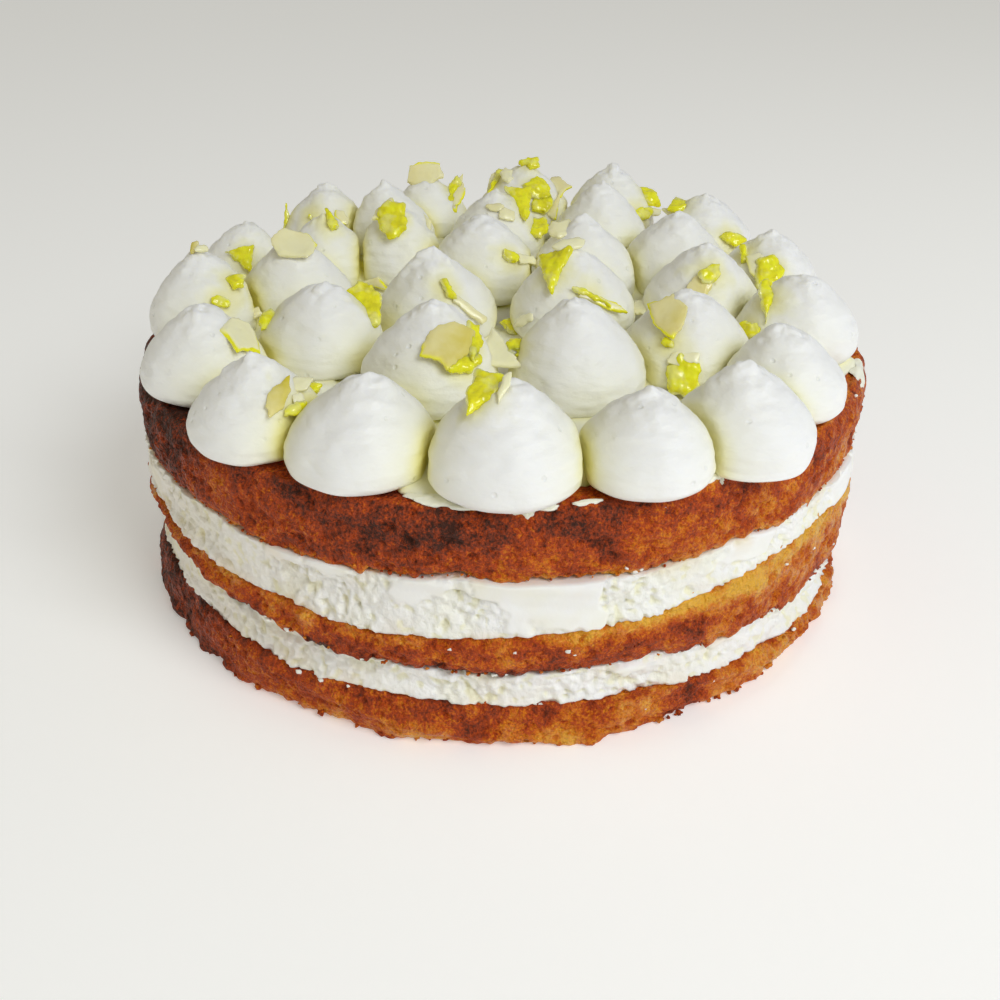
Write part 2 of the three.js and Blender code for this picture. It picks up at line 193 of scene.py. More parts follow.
# Turn of the lattice of the lumps, so that none of its rows run along the wall of the cake, and its shift.
LATTICE_TURN = np.array(Matrix.Rotation(0.9, 3, "X") @ Matrix.Rotation(0.7, 3, "Y"))
LATTICE_SHIFT = 0.37

# Cream spread under the kisses: its thickness, how far it is sunk into the sponge, where it ends, and how
# finely it is cut.
FILM_THICKNESS = 0.7
FILM_SUNK = 0.4
FILM_RADIUS = 89
FILM_RINGS = (0.014,) * 66
FILM_COLUMNS = 720

# Where the spread cream runs out to the rim: how far, and azimuths from and to in degrees. Places that it
# leaves bare: x, y and radius.
FILM_SPILL = 6.5
FILM_SPILLS = ((255, 267), (295, 302), (338, 347))
BARE_SPOTS = ((-13.8, -60.9, 5), (1.5, 12, 6), (2, 0, 5.5), (2.5, 6, 5), (19, -92, 6), (49, -85, 5.5),
              (-30, -92, 9), (-62, -72, 8), (-88, -30, 9))

# Smears of cream on the rim: azimuth, half length along the rim, how far in over the top and down the side
# it reaches, and thickness.
RIM_SMEARS = (
    (262.3, 6.5, 4.5, 0.4, 0.5), (267.5, 5, 0.8, 0.5, 0.35), (272.5, 2.2, 0.4, 1.6, 0.5),
    (274.2, 1.4, 0.3, 2.2, 0.45), (276.3, 3, 0.9, 0.9, 0.4), (281.8, 3.2, 1, 0.5, 0.35),
    (297.2, 3.8, 3.5, 0.9, 0.5), (299.6, 3.2, 2.8, 1.4, 0.5), (301, 1.3, 0.4, 3, 0.4),
    (305.5, 1.2, 0.3, 1.6, 0.35), (342.8, 5, 1.5, 4.5, 0.55), (345.5, 3, 2, 2.5, 0.5),
    (201, 1.2, 0.2, 2.6, 0.35), (58, 4, 2, 1.5, 0.5), (96, 5, 2.5, 1, 0.45), (139, 3.5, 2, 1.2, 0.45),
)
SMEAR_SEGMENTS = 48
SMEAR_RINGS = 24
SMEAR_SUNK = 0.5

# Folds where the nozzle left a lip of cream: number of the kiss, x and y where the fold begins and where it
# ends, both from the tip, half width, and height.
KISS_FOLDS = (
    (28, -8.5, -1, -0.5, 0.3, 1.7, 1.4), (28, 1, -0.5, 3.5, -1.5, 1, 0.7), (18, -1.5, -3, 0, 0, 1.2, 0.8),
    (4, -0.5, -5, -1, -0.5, 1, 0.5), (3, 0, 0, 5, -0.3, 2, 0.8), (15, -7, 0.3, 0, 0, 2.6, 1.3),
    (16, -4, -0.5, 0, 0, 1.6, 0.5), (14, 0.5, -0.5, 3.5, -1.2, 1, 0.5), (27, -1, -1.5, 3, -2, 1.4, 0.5),
    (26, -5, -2, -1, 0, 1.6, 0.9), (17, -2, -2, 2, -1, 1.6, 0.6), (2, -2, -1, 3, 0, 2.4, 0.7),
    (7, -2, 0, 2, 1, 1.5, 0.7), (10, 0, -3, 1, 0, 1.4, 0.8), (12, -3, 0, 0, 0, 1.5, 0.6),
    (21, -2, -2, 1, 0, 1.5, 0.8), (24, 0, 0, 4, -1, 1.5, 0.6), (30, -3, -1, 0, 0, 1.4, 0.6),
)

# Skirts where cream spread at the foot: number of the kiss, bearing, half angle and reach.
KISS_SKIRTS = ((15, 275, 50, 2), (2, 235, 35, 0.7), (14, 330, 30, 0.7), (3, 250, 30, 0.6), (20, 200, 40, 0.8))

# Candied lemon peel: number of the kiss under it, bearing on that kiss in degrees, share of the kiss's
# height, length, width, turn of its long side from level, azimuth that it faces, tilt, and outline.
PITH_PIECES = (
    (17, 295, 0.68, 10, 14, 125, 295, 35, "chunk"), (17, 355, 0.41, 11, 16, 35, 270, 20, "wedge"),
    (29, 220, 0.29, 9.5, 3.5, 40, 220, 60, "leaf"), (1, 250, 0.92, 6.5, 2, 90, 250, 30, "shield"),
    (28, 310, 0.42, 11.5, 3, 120, 310, 45, "bar"), (8, 5, 0.63, 16, 8, 250, 270, 30, "wedge"),
    (8, 350, 0.6, 16, 5.5, 245, 270, 30, "leaf"), (9, 170, 0.63, 3, 13, 175, 270, 30, "leaf"),
    (9, 210, 0.81, 6.5, 4.5, 270, 270, 20, "chunk"), (9, 5, 0.61, 8, 10, 220, 270, 20, "slab"),
    (9, 320, 0.47, 13, 3.5, 255, 270, 30, "wedge"), (22, 260, 0.78, 2.5, 6, 265, 260, 35, "slab"),
    (22, 290, 0.7, 4, 5, 245, 290, 35, "bar"), (30, 185, 0.81, 8.5, 8.5, 5, 270, 20, "chunk"),
    (31, 335, 0.46, 8, 4, 330, 335, 45, "bar"), (29, 160, 0.97, 4.5, 9, 295, 270, 20, "leaf"),
    (5, 180, 0.95, 1.5, 4.5, 0, 270, 20, "bar"), (5, 320, 0.97, 4, 2.5, 160, 320, 30, "leaf"),
    (19, 290, 0.91, 12, 12, 270, 290, 30, "leaf"), (7, 305, 0.56, 7, 4.5, 95, 305, 40, "leaf"),
    (4, 345, 0.63, 10, 12, 145, 345, 40, "slab"), (5, 350, 0.25, 4, 4.5, 25, 270, 20, "bar"),
    (3, 310, 0.63, 11.5, 4.5, 215, 310, 35, "leaf"), (3, 0, 0.63, 7, 5, 0, 270, 20, "leaf"),
    (3, 335, 0.56, 4.5, 3.5, 180, 335, 40, "slab"), (32, 245, 0.12, 3.5, 12, 265, 245, 75, "wedge"),
    (32, 185, 0.86, 10.5, 3.5, 240, 270, 20, "slab"), (8, 210, 0.97, 14, 8.5, 0, 270, 60, "slab"),
    (21, 350, 0.44, 2.5, 11, 200, 270, 30, "wedge"), (29, 300, 0.5, 3, 15.5, 235, 300, 40, "leaf"),
    (25, 180, 0.19, 10, 6, 175, 180, 20, "leaf"), (11, 170, 0.62, 7, 5, 325, 270, 20, "shield"),
    (10, 330, 0.39, 7, 4, 335, 270, 20, "shield"), (12, 245, 0.62, 10.5, 6, 120, 245, 35, "shield"),
    (25, 255, 0.6, 6, 10, 185, 255, 40, "chunk"), (26, 230, 0.73, 14.5, 10, 130, 230, 30, "shield"),
    (26, 260, 0.41, 7.5, 4, 355, 260, 45, "slab"),
)
ZEST_PIECES = (
    (17, 330, 0.61, 13, 4.5, 35, 330, 40, "shield"), (17, 305, 0.5, 10, 5.5, 5, 305, 45, "shield"),
    (29, 190, 0.07, 6.5, 5.5, 115, 270, 20, "slab"), (27, 180, 0.45, 6, 5.5, 180, 270, 20, "slab"),
    (27, 185, 0.42, 3.5, 5, 270, 270, 20, "bar"), (1, 195, 0.84, 14, 8, 65, 270, 20, "shield"),
    (28, 290, 0.66, 6, 2.5, 95, 290, 35, "bar"), (9, 0, 0.95, 7, 6.5, 355, 270, 20, "shield"),
    (8, 5, 0.65, 13, 4, 70, 270, 30, "leaf"), (9, 175, 0.68, 16, 3.5, 70, 270, 20, "wedge"),
    (9, 295, 0.69, 10, 9, 125, 295, 35, "leaf"), (9, 300, 0.53, 9, 6.5, 215, 300, 40, "shield"),
    (22, 350, 0.73, 16, 8.5, 100, 270, 30, "wedge"), (22, 345, 0.44, 5.5, 8.5, 0, 270, 20, "slab"),
    (31, 310, 0.55, 5.5, 5.5, 90, 310, 40, "leaf"), (29, 225, 0.75, 16, 10, 125, 225, 35, "wedge"),
    (6, 280, 0.56, 9, 9.5, 110, 280, 40, "wedge"), (5, 340, 0.62, 5, 6.5, 355, 270, 20, "shield"),
    (7, 190, 0.42, 11, 3.5, 270, 270, 75, "wedge"), (7, 250, 0.58, 2, 2.5, 240, 250, 40, "bar"),
    (20, 305, 0.89, 8.5, 3.5, 265, 305, 30, "shield"), (5, 305, 0.5, 2.5, 5.5, 245, 305, 45, "leaf"),
    (18, 185, 0.48, 3.5, 7.5, 355, 270, 20, "leaf"), (3, 25, 0.42, 4.5, 5, 0, 270, 20, "leaf"),
    (3, 325, 0.5, 6.5, 2.5, 355, 325, 40, "leaf"), (18, 15, 0.58, 16, 11, 120, 270, 30, "shield"),
    (32, 260, 0.81, 10, 14.5, 30, 260, 35, "leaf"), (29, 290, 0.56, 2, 10.5, 55, 290, 40, "leaf"),
    (10, 355, 0.53, 11.5, 6, 125, 270, 20, "leaf"), (11, 175, 0.73, 6, 8, 335, 270, 20, "slab"),
    (10, 310, 0.39, 3.5, 11, 270, 310, 50, "leaf"), (11, 300, 0.44, 9.5, 4.5, 330, 300, 45, "leaf"),
    (12, 200, 0.7, 7, 2.5, 270, 270, 30, "bar"), (12, 260, 0.55, 10.5, 8, 90, 260, 40, "slab"),
    (13, 200, 0.66, 14.5, 4, 85, 270, 30, "shield"), (25, 270, 0.73, 5.5, 7.5, 150, 270, 35, "leaf"),
    (26, 240, 0.53, 2, 4, 270, 240, 40, "bar"), (13, 205, 0.36, 9, 5, 180, 205, 50, "leaf"),
    (26, 260, 0.23, 9.5, 10.5, 210, 260, 65, "leaf"),
)

# Each kind of peel: thickness, seed of its first piece, size of the lumps of its skin, and their relief.
PITH_SHAPE = (1.5, 0, 3, 0.12)
ZEST_SHAPE = (2.4, 100, 1.8, 0.4)
PEEL_VOXEL = 0.35

# For each piece of pith, how amber it is and how much of its edge keeps a line of rind, both from 0 to 1.
PITH_LOOKS = (
    (0.85, 0.2), (0.1, 0), (0, 0), (0.1, 0), (0.25, 0), (0.3, 0.5), (0.35, 0.4), (0.2, 0.3), (0.1, 0),
    (0.4, 0.2), (0.5, 0.3), (0.3, 0), (0.2, 0), (0.2, 0.2), (0.1, 0), (0.1, 0), (0.9, 0), (0.1, 0),
    (0.25, 0.1), (0.3, 0.3), (0.15, 0.8), (0.3, 0), (1, 0), (0.1, 0), (0, 0), (0.3, 0.4), (0.3, 0.4),
    (0.35, 0.2), (0.2, 0), (0.2, 0.6), (0.1, 0), (0.1, 0), (0.1, 0), (0.1, 0.1), (0.6, 0.2), (0.7, 0.5),
    (0.1, 0),
)
ZEST_LOOK = (0, 0.3)

# Corners of a piece of peel, as shares of its length and width.
PEEL_OUTLINES = {
    "wedge": ((-0.5, 0), (0.35, -0.5), (0.5, 0.5)),
    "shield": ((-0.5, 0.05), (0.1, -0.5), (0.5, -0.2), (0.46, 0.5), (-0.15, 0.4)),
    "slab": ((-0.5, -0.35), (0.1, -0.5), (0.5, -0.1), (0.4, 0.5), (-0.4, 0.4)),
    "leaf": ((-0.5, -0.1), (-0.2, -0.5), (0.25, -0.4), (0.5, 0.2), (0.1, 0.5), (-0.3, 0.35)),
    "bar": ((-0.5, -0.5), (0.45, -0.35), (0.5, 0.5), (-0.42, 0.4)),
    "chunk": ((-0.5, -0.15), (-0.25, -0.5), (0.3, -0.4), (0.5, 0), (0.3, 0.5), (-0.1, 0.35), (-0.4, 0.45)),
}

# Crumbs that cling to the sponge: layer, how many, shares of its height between which they lie, and least
# and greatest radius.
CRUMB_ROWS = (
    ("sponge_top", 150, 0.0, 0.06, 0.25, 0.6), ("sponge_top", 60, 0.06, 1.0, 0.2, 0.4),
    ("sponge_middle", 130, 0.0, 0.08, 0.25, 0.6), ("sponge_middle", 50, 0.08, 1.0, 0.2, 0.45),
    ("sponge_bottom", 150, 0.0, 0.1, 0.3, 1.1), ("sponge_bottom", 60, 0.1, 1.0, 0.2, 0.5),
)
CRUMB_SUNK = 0.3
CRUMB_SEED = 1000

# Flecks of cream on the sponge: how far one reaches away from the wall, along it and up it, as shares of its
# radius. Then for each layer their azimuths, shares of its height, and radii.
FLECK_SHAPE = (0.6, 0.85, 0.5)
CREAM_FLECKS = (
    ("sponge_top", (
        (286.7, 0.12, 0.7), (288, 0.03, 0.9), (288.9, 0.06, 0.6), (291.6, 0.86, 0.6), (293, 0.92, 0.5),
        (336, 0.9, 0.7),
    )),
    ("sponge_middle", (
        (279.5, 0.65, 0.8), (280.2, 0.55, 0.5), (272.6, 0.7, 0.5), (264.2, 0.75, 0.5), (315, 0.7, 0.6),
        (323, 0.6, 0.7), (270, 0.02, 0.9), (271.4, 0.03, 0.8), (237, 0.03, 1), (240.4, 0.05, 1),
    )),
    ("sponge_bottom", (
        (241.3, 0.96, 0.9), (245, 0.93, 0.9), (249.3, 0.96, 0.6), (291, 0.6, 0.6), (302, 0.8, 0.6),
        (321, 0.9, 0.9),
    )),
    ("sponge_middle", (
        (326, 0.15, 0.8), (332, 0.3, 0.6),
    )),
)

# Patches of filling that were wiped smooth: azimuth, level, half width and half height.
WIPED_PATCHES = {
    "cream_upper": (
        (277, 42, 12, 9), (270, 45, 6, 4), (262, 45, 10, 2.6), (245, 46, 12, 2), (304, 44, 10, 3.5),
        (335, 42, 14, 5), (205, 42, 12, 4), (40, 42, 22, 5), (100, 43, 26, 4), (150, 41, 14, 4),
    ),
    "cream_lower": (
        (287, 19, 12, 2), (305, 18, 8, 2), (60, 17, 20, 2.5), (130, 19, 16, 2.5),
    ),
}

# Width of the floor in metres, so wide that its edges are past every view.
FLOOR_SIZE = 24

# Lamps in metres: where each stands, and how wide it is. Both face the middle of the cake.
AIM = (0, 0, 0.04)
KEY_PLACE, KEY_SIZE = (0.56, -0.645, 0.8), 0.6
FILL_PLACE, FILL_SIZE = (-0.85, -0.45, 0.16), 0.5
LAMP_COLOUR = (0.93, 0.965, 1)

# The camera as the photograph was taken: place in metres, degrees from straight down, and width of its
# sensor in mm.
CAMERA_PLACE = (0.0012, -0.303, 0.1931)
CAMERA_ANGLE = 58.56
SENSOR_WIDTH = 36


class SpongeSettings(bpy.types.PropertyGroup):
    """Bake and crumb of the sponge."""

    crumb_relief: bpy.props.FloatProperty(
        name="Crumb relief", description="How far the crumb stands in and out of the wall, in mm",
        default=0.55, min=0, max=2)
    crumb_colour: bpy.props.StringProperty(
        name="Crumb", description="Colour of the pale crumb under the crust", default="FCBC38")
    golden_colour: bpy.props.StringProperty(
        name="Golden", description="Colour of lightly baked sponge", default="EA8614")
    crust_colour: bpy.props.StringProperty(
        name="Crust", description="Colour of well baked crust", default="C24C18")
    brown_colour: bpy.props.StringProperty(
        name="Brown crust", description="Colour of dark crust", default="8A3A1E")
    dark_colour: bpy.props.StringProperty(
        name="Dark crust", description="Colour of the darkest crust", default="4A281C")


class CreamSettings(bpy.types.PropertyGroup):
    """Filling and piped cream."""

    filling_relief: bpy.props.FloatProperty(
        name="Filling relief", description="How rough the torn filling is, in mm", default=0.65, min=0, max=2)
    filling_colour: bpy.props.StringProperty(
        name="Filling", description="Colour of the lemon cream filling", default="FAF9F5")
    # The stain colour also paints warm light on the left side of the filling.
    stain_and_warmth_colour: bpy.props.StringProperty(
        name="Stain", description="Colour of the filling where crust has crumbled into it", default="D9AE5C")
    kiss_colour: bpy.props.StringProperty(
        name="Kiss", description="Colour of the piped cream", default="FCFCF9")
    # The lemon colour is also the colour of painted shade in the creases and pores of the cream.
    lemon_and_shade_colour: bpy.props.StringProperty(
        name="Lemon tint", description="Colour of the cream in creases and beside peel", default="EDE45A")


class PeelSettings(bpy.types.PropertyGroup):
    """Candied lemon peel."""

    pith_colour: bpy.props.StringProperty(
        name="Pith", description="Colour of the pale side of the peel", default="FFF9D2")
    amber_colour: bpy.props.StringProperty(
        name="Amber pith", description="Colour of the most candied pith", default="DCCB3E")
    zest_colour: bpy.props.StringProperty(
        name="Zest", description="Colour of the bright rind", default="FFF722")
    green_colour: bpy.props.StringProperty(
        name="Green zest", description="Colour of the greener rind", default="DCD61C")
    rim_colour: bpy.props.StringProperty(
        name="Rim of the rind", description="Colour of the thin edge of the rind", default="F8F4A0")
    peel_grain: bpy.props.FloatProperty(
        name="Peel grain", description="Size of the oil cells in the rind, in mm", default=1.4, min=0.3,
        max=4)


class StageSettings(bpy.types.PropertyGroup):
    """Floor, lights and camera."""

    floor_colour: bpy.props.StringProperty(
        name="Floor", description="Colour of the paper floor", default="F4F4F2")
    floor_glow: bpy.props.FloatProperty(
        name="Floor glow", description="Light that comes through the floor from below", default=0.28, min=0)
    key_power: bpy.props.FloatProperty(
        name="Key light", description="Power of the key light in watts", default=6.7, min=0)
    fill_power: bpy.props.FloatProperty(
        name="Fill light", description="Power of the fill light in watts", default=0.5, min=0)
    sky_strength: bpy.props.FloatProperty(
        name="Sky", description="Strength of the white surroundings", default=0.32, min=0)
    left_colour: bpy.props.StringProperty(
        name="Left side", description="Colour of the warm surroundings on the left", default="FFF4CC")
    lens: bpy.props.FloatProperty(
        name="Lens", description="Focal length of the camera in mm", default=41.72, min=10)


def chance(seed):
    """A number from 0 to 1 that looks random and is the same on every run."""
    value = np.sin(seed * 12.9898 + 4.1414) * 43758.5453  # uneven numbers that scatter the seeds
    return value - np.floor(value)


def ripple(azimuth, seed, waves):
    """A ragged line round the cake, from about -1 to 1, with three sizes of wave."""
    total = 0
    for octave in range(3):
        count = waves * 2 ** octave + octave
        total = total + 0.5 ** octave * np.cos(count * azimuth + TURN * chance(seed + octave))
    return total / 1.4


def lattice_values(node, seed):
    """Numbers from 0 to 1 for whole-number places, all alike for the same place and seed."""
    # Large odd numbers stir the bits of the place, of which the lowest 16 are kept.
    key = node[..., 0] * 73856093 ^ node[..., 1] * 19349663 ^ node[..., 2] * 83492791 ^ int(seed) * 2654435
    key = (key ^ key >> 13) * 1274126177 & 0x7FFFFFFF
    key = (key ^ key >> 15) * 668265263 & 0x7FFFFFFF
    return (key & 0xFFFF) / 0xFFFF


def lumps(points, size, seed=0):
    """Smooth lumps from -1 to 1, about the given size in mm, at points in mm, on a lattice that is turned."""
    cell = points @ LATTICE_TURN / size + LATTICE_SHIFT
    base = np.floor(cell).astype(np.int64)
    local = cell - base
    fade = local ** 3 * (local * (6 * local - 15) + 10)
    total = np.zeros(len(points))
    for corner in itertools.product((0, 1), repeat=3):
        weight = np.prod(np.where(corner, fade, 1 - fade), axis=1)
        total += weight * lattice_values(base + np.array(corner), seed)
    return 2 * total - 1


def lumpy(points, *layers):
    """Lumps laid over each other, each (relief, size in mm, seed)."""
    return sum(relief * lumps(points, size, seed) for relief, size, seed in layers)


def turned(azimuth, degrees):
    """How far azimuths are turned from one in degrees, in radians, the short way round."""
    return (azimuth - math.radians(degrees) + math.pi) % TURN - math.pi


def rows_of(table, number):
    """The rows of a table that belong to one kiss, without its number."""
    return [row[1:] for row in table if row[0] == number]


def ease(value, low, high):
    """0 below low, 1 above high and a smooth rise between them."""
    share = np.clip((value - low) / (high - low), 0, 1)
    return share * share * (3 - 2 * share)


def joint_height(joint, azimuth, radius):
    """Height of a joint between two layers at an azimuth and a distance from the axis."""
    level, rag, swells = JOINTS[joint]
    swell = rag * ripple(azimuth, level, RAG_WAVES)
    for height, crest, times in swells:
        swell = swell + height * np.cos(times * (azimuth - math.radians(crest)))
    return level + swell * radius / SIDE_RADIUS


def wall_offset(wall, share):
    """How far a wall stands off its radius, with the corners of its outline rounded."""
    shares, offsets = zip(*wall)
    shifts = np.linspace(-WALL_ROUNDING, WALL_ROUNDING, ROUNDING_STEPS)
    return sum(np.interp(share + shift, shares, offsets) for shift in shifts) / ROUNDING_STEPS


def linear(code):
    """An sRGB hex colour as linear red, green, blue and 1."""
    parts = [int(code[i:i + 2], 16) / 255 for i in (0, 2, 4)]
    return tuple(c / 12.92 if c <= 0.04045 else ((c + 0.055) / 1.055) ** 2.4 for c in parts) + (1,)


def start():
    """Leaves nothing selected before a new piece is begun."""
    if bpy.context.mode != "OBJECT":
        bpy.ops.object.mode_set(mode="OBJECT")
    bpy.ops.object.select_all(action="DESELECT")


def places(piece):
    """The vertices of a piece, in its own units."""
    points = np.empty(3 * len(piece.data.vertices))
    piece.data.vertices.foreach_get("co", points)
    return points.reshape(-1, 3)


def put(piece, points_mm):
    """Moves the vertices of a piece to points in mm, and its object to the origin."""
    piece.matrix_world = Matrix.Identity(4)
    piece.data.vertices.foreach_set("co", (np.asarray(points_mm) * MM).ravel())
    piece.data.update()


def paint(piece, name, values):
    """Stores one number for each vertex, for a material to read."""
    layer = piece.data.attributes.new(name, "FLOAT", "POINT")
    layer.data.foreach_set("value", np.asarray(values, dtype=np.float32))


def finish_piece(piece, name, material, nodes=()):
    """Names a piece, gives it its material and slot, and hides the nodes that it stands for."""
    piece.name = name
    piece.data.name = name
    piece.data.materials.clear()
    piece.data.materials.append(material)
    piece.data.shade_smooth()
    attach(piece, "root")
    if nodes:
        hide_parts(*nodes)
    return piece


def joined(pieces):
    """Several pieces made one."""
    start()
    for piece in pieces:
        piece.select_set(True)
    bpy.context.view_layer.objects.active = pieces[0]
    bpy.ops.object.join()
    return pieces[0]


def add_node(tree, kind, inputs=(), stops=(), **settings):
    """Adds a shader node. Each input is a number, a colour, or the socket or node that it is linked from.

    Of a node, the first output is taken.
    """
    made = tree.nodes.new("ShaderNode" + kind)
    for name, value in settings.items():
        setattr(made, name, value)
    for key, value in dict(inputs).items():
        if isinstance(value, bpy.types.Node):
            value = value.outputs[0]
        if isinstance(value, bpy.types.NodeSocket):
            tree.links.new(value, made.inputs[key])
        else:
            made.inputs[key].default_value = value
    for index, (place, colour) in enumerate(stops):
        elements = made.color_ramp.elements
        stop = elements[index] if index < 2 else elements.new(place)
        stop.position = place
        stop.color = colour
    return made


def new_material(name):
    """An empty material, what adds a node to it, and the Object coordinates that its patterns use."""
    material = bpy.data.materials.new(name)
    material.use_nodes = True
    material.node_tree.nodes.clear()
    add = functools.partial(add_node, material.node_tree)
    return material, add, add("TexCoord").outputs["Object"]


def sponge_material(settings):
    """Baked butter sponge: a dry, matt, open crumb whose crust runs from gold to dark brown.

    It is mottled over about 7 mm, with grain of 1.4 and 0.6 mm over a crumb of 1 mm. Where the crust is
    palest, syrup has soaked it and leaves a thin gloss.
    """
    material, add, where = new_material("baked_sponge_crust")
    bake = add("Attribute", attribute_name="bake").outputs["Fac"]
    mottle = add("TexNoise", {"Vector": where, "Scale": 1 / (7 * MM), "Detail": 6, "Roughness": 0.62})
    patch = add("MapRange", {"Value": mottle, "From Min": 0.38, "From Max": 0.62, "To Min": -0.55,
                             "To Max": 0.36})
    grain, fine = (add("TexNoise", {"Vector": where, "Scale": 1 / (size * MM), "Detail": detail,
                                    "Roughness": 0.7})
                   for size, detail in ((1.4, 4), (0.6, 2)))
    crumb = add("TexVoronoi", {"Vector": where, "Scale": 1 / (1.0 * MM)})
    both = add("Math", {0: grain, 1: fine}, operation="ADD")
    speck = add("Math", {0: both, 1: 1.0}, operation="SUBTRACT")
    with_patch = add("Math", {0: patch, 1: 0.34, 2: bake}, operation="MULTIPLY_ADD")
    coarse = add("Math", {0: bake, 1: 0.8, 2: 0.35}, operation="MULTIPLY_ADD")
    with_speck = add("Math", {0: speck, 1: coarse, 2: with_patch}, operation="MULTIPLY_ADD")
    ramp = add("ValToRGB", {"Fac": with_speck}, stops=(
        (0.0, linear(settings.crumb_colour)), (1.0, linear(settings.dark_colour)),
        (0.28, linear(settings.golden_colour)), (0.55, linear(settings.crust_colour)),
        (0.8, linear(settings.brown_colour))))
    height = add("Math", {0: crumb, 1: both}, operation="ADD")
    bump = add("Bump", {"Strength": 1.0, "Distance": 0.8 * MM, "Height": height})
    rough = add("MapRange", {"Value": mottle, "From Min": 0.35, "From Max": 0.65, "To Min": 0.34,
                             "To Max": 0.66})
    syrup = add("MapRange", {"Value": with_patch, "From Min": 0.42, "From Max": 0.3, "To Max": 0.6})
    shader = add("BsdfPrincipled", {
        "Base Color": ramp, "Roughness": rough, "IOR": 1.45, "Specular IOR Level": 0.28,
        "Coat Weight": syrup, "Coat Roughness": 0.15, "Normal": bump, "Coat Normal": bump})
    add("OutputMaterial", {"Surface": shader})
    return material


def filling_material(settings):
    """Lemon cream filling: soft whipped cream, matt and full of air where it was torn.

    Its lemon tint drifts over 14 mm, and painted shade tints its pores and tears lemon. The air bubbles are
    about 1 mm wide, crust has stained it in places, and painted warm light tints its left side. Light goes
    1.2 mm deep into it.
    """
    material, add, where = new_material("whipped_lemon_cream")
    deep, stain_and_painted_warmth, torn = (add("Attribute", attribute_name=name).outputs["Fac"]
                         for name in ("deep", "stain_and_painted_warmth", "rough"))
    tone = add("TexNoise", {"Vector": where, "Scale": 1 / (14 * MM), "Detail": 2})
    air = add("TexNoise", {"Vector": where, "Scale": 1 / (1.0 * MM), "Detail": 4})
    share = add("MapRange", {"Value": tone, "From Min": 0.45, "From Max": 0.75, "To Max": 0.15})
    # Painted shade in the pores and tears, tinted lemon, added to a lemon tone that drifts at random.
    tint = add("Math", {0: deep, 1: 0.45, 2: share}, operation="MULTIPLY_ADD")
    colour = linear(settings.filling_colour)
    for factor, other in ((tint, settings.lemon_and_shade_colour), (stain_and_painted_warmth, settings.stain_and_warmth_colour)):
        colour = add("Mix", {0: factor, 6: colour, 7: linear(other)}, data_type="RGBA").outputs[2]
    bump = add("Bump", {"Strength": torn, "Distance": 0.45 * MM, "Height": air})
    shader = add("BsdfPrincipled", {
        "Base Color": colour, "Roughness": 0.5, "IOR": 1.45, "Subsurface Weight": 0.3,
        "Subsurface Radius": (1.0, 0.95, 0.8), "Subsurface Scale": 1.2 * MM, "Normal": bump})
    add("OutputMaterial", {"Surface": shader})
    return material


def whipped_material(name, settings, depth):
    """Plain whipped cream: smooth and dense, with a satin skin, faint wrinkles and a few small air bubbles.

    Wrinkles are 5 mm apart across and half that upwards, and one cell of 3.4 mm in four holds a bubble.
    Light goes into the cream as deep as the given number of mm and comes out warmer.
    """
    material, add, where = new_material(name)
    # Painted shade: this tints the cream lemon in creases and where shade falls, and evenly on smears and
    # flecks.
    tint_and_crease_shade = add("Attribute", attribute_name="tint_and_crease_shade").outputs["Fac"]
    colour = add("Mix", {0: tint_and_crease_shade, 6: linear(settings.kiss_colour), 7: linear(settings.lemon_and_shade_colour)},
                 data_type="RGBA").outputs[2]
    stretched = add("Mapping", {"Vector": where, "Scale": (1, 1, 2)})
    wrinkle = add("TexNoise", {"Vector": stretched, "Scale": 1 / (5 * MM), "Detail": 5, "Roughness": 0.55})
    cell = add("TexVoronoi", {"Vector": where, "Scale": 1 / (3.4 * MM)}).outputs
    pit = add("MapRange", {"Value": cell["Distance"], "From Min": 0.08, "From Max": 0.2})
    draw = add("SeparateColor", {"Color": cell["Color"]})
    filled = add("MapRange", {"Value": draw, "From Min": 0.2, "From Max": 0.3})
    open_pit = add("Math", {0: pit, 1: filled}, operation="MAXIMUM")
    height = add("Math", {0: open_pit, 1: 0.5, 2: wrinkle}, operation="MULTIPLY_ADD")
    bump = add("Bump", {"Strength": 0.6, "Distance": 1.0 * MM, "Height": height})
    shader = add("BsdfPrincipled", {
        "Base Color": colour, "Roughness": 0.45, "IOR": 1.45, "Subsurface Weight": 0.45,
        "Subsurface Radius": (1.0, 0.97, 0.85), "Subsurface Scale": depth * MM,
        "Specular IOR Level": 0.35, "Normal": bump})
    add("OutputMaterial", {"Surface": shader})
    return material


def pith_material(settings):
    """Candied pith: pale, waxy and a little glossy, clouded with amber, with a yellow rim of rind.

    The clouds are 6 mm wide and the fibres 1.2 mm. Light goes 0.8 mm deep into it.
    """
    material, add, where = new_material("candied_lemon_pith")
    rind, tone = (add("Attribute", attribute_name=name).outputs["Fac"] for name in ("rind", "tone"))
    cloud, fibre = (add("TexNoise", {"Vector": where, "Scale": 1 / (size * MM), "Detail": 3})
                    for size in (6, 1.2))
    cloudy = add("MapRange", {"Value": cloud, "From Min": 0.35, "From Max": 0.6, "To Min": 0.7})
    deep = add("Math", {0: tone, 1: cloudy}, operation="MULTIPLY")
    colour = linear(settings.pith_colour)
    for factor, other in ((deep, settings.amber_colour), (rind, settings.zest_colour)):
        colour = add("Mix", {0: factor, 6: colour, 7: linear(other)}, data_type="RGBA").outputs[2]
    bump = add("Bump", {"Strength": 0.3, "Distance": 0.3 * MM, "Height": fibre})
    shader = add("BsdfPrincipled", {
        "Base Color": colour, "Roughness": 0.25, "IOR": 1.47, "Subsurface Weight": 0.5,
        "Subsurface Radius": (1.0, 1.0, 0.7), "Subsurface Scale": 0.8 * MM, "Coat Weight": 0.25,
        "Normal": bump})
    add("OutputMaterial", {"Surface": shader})
    return material


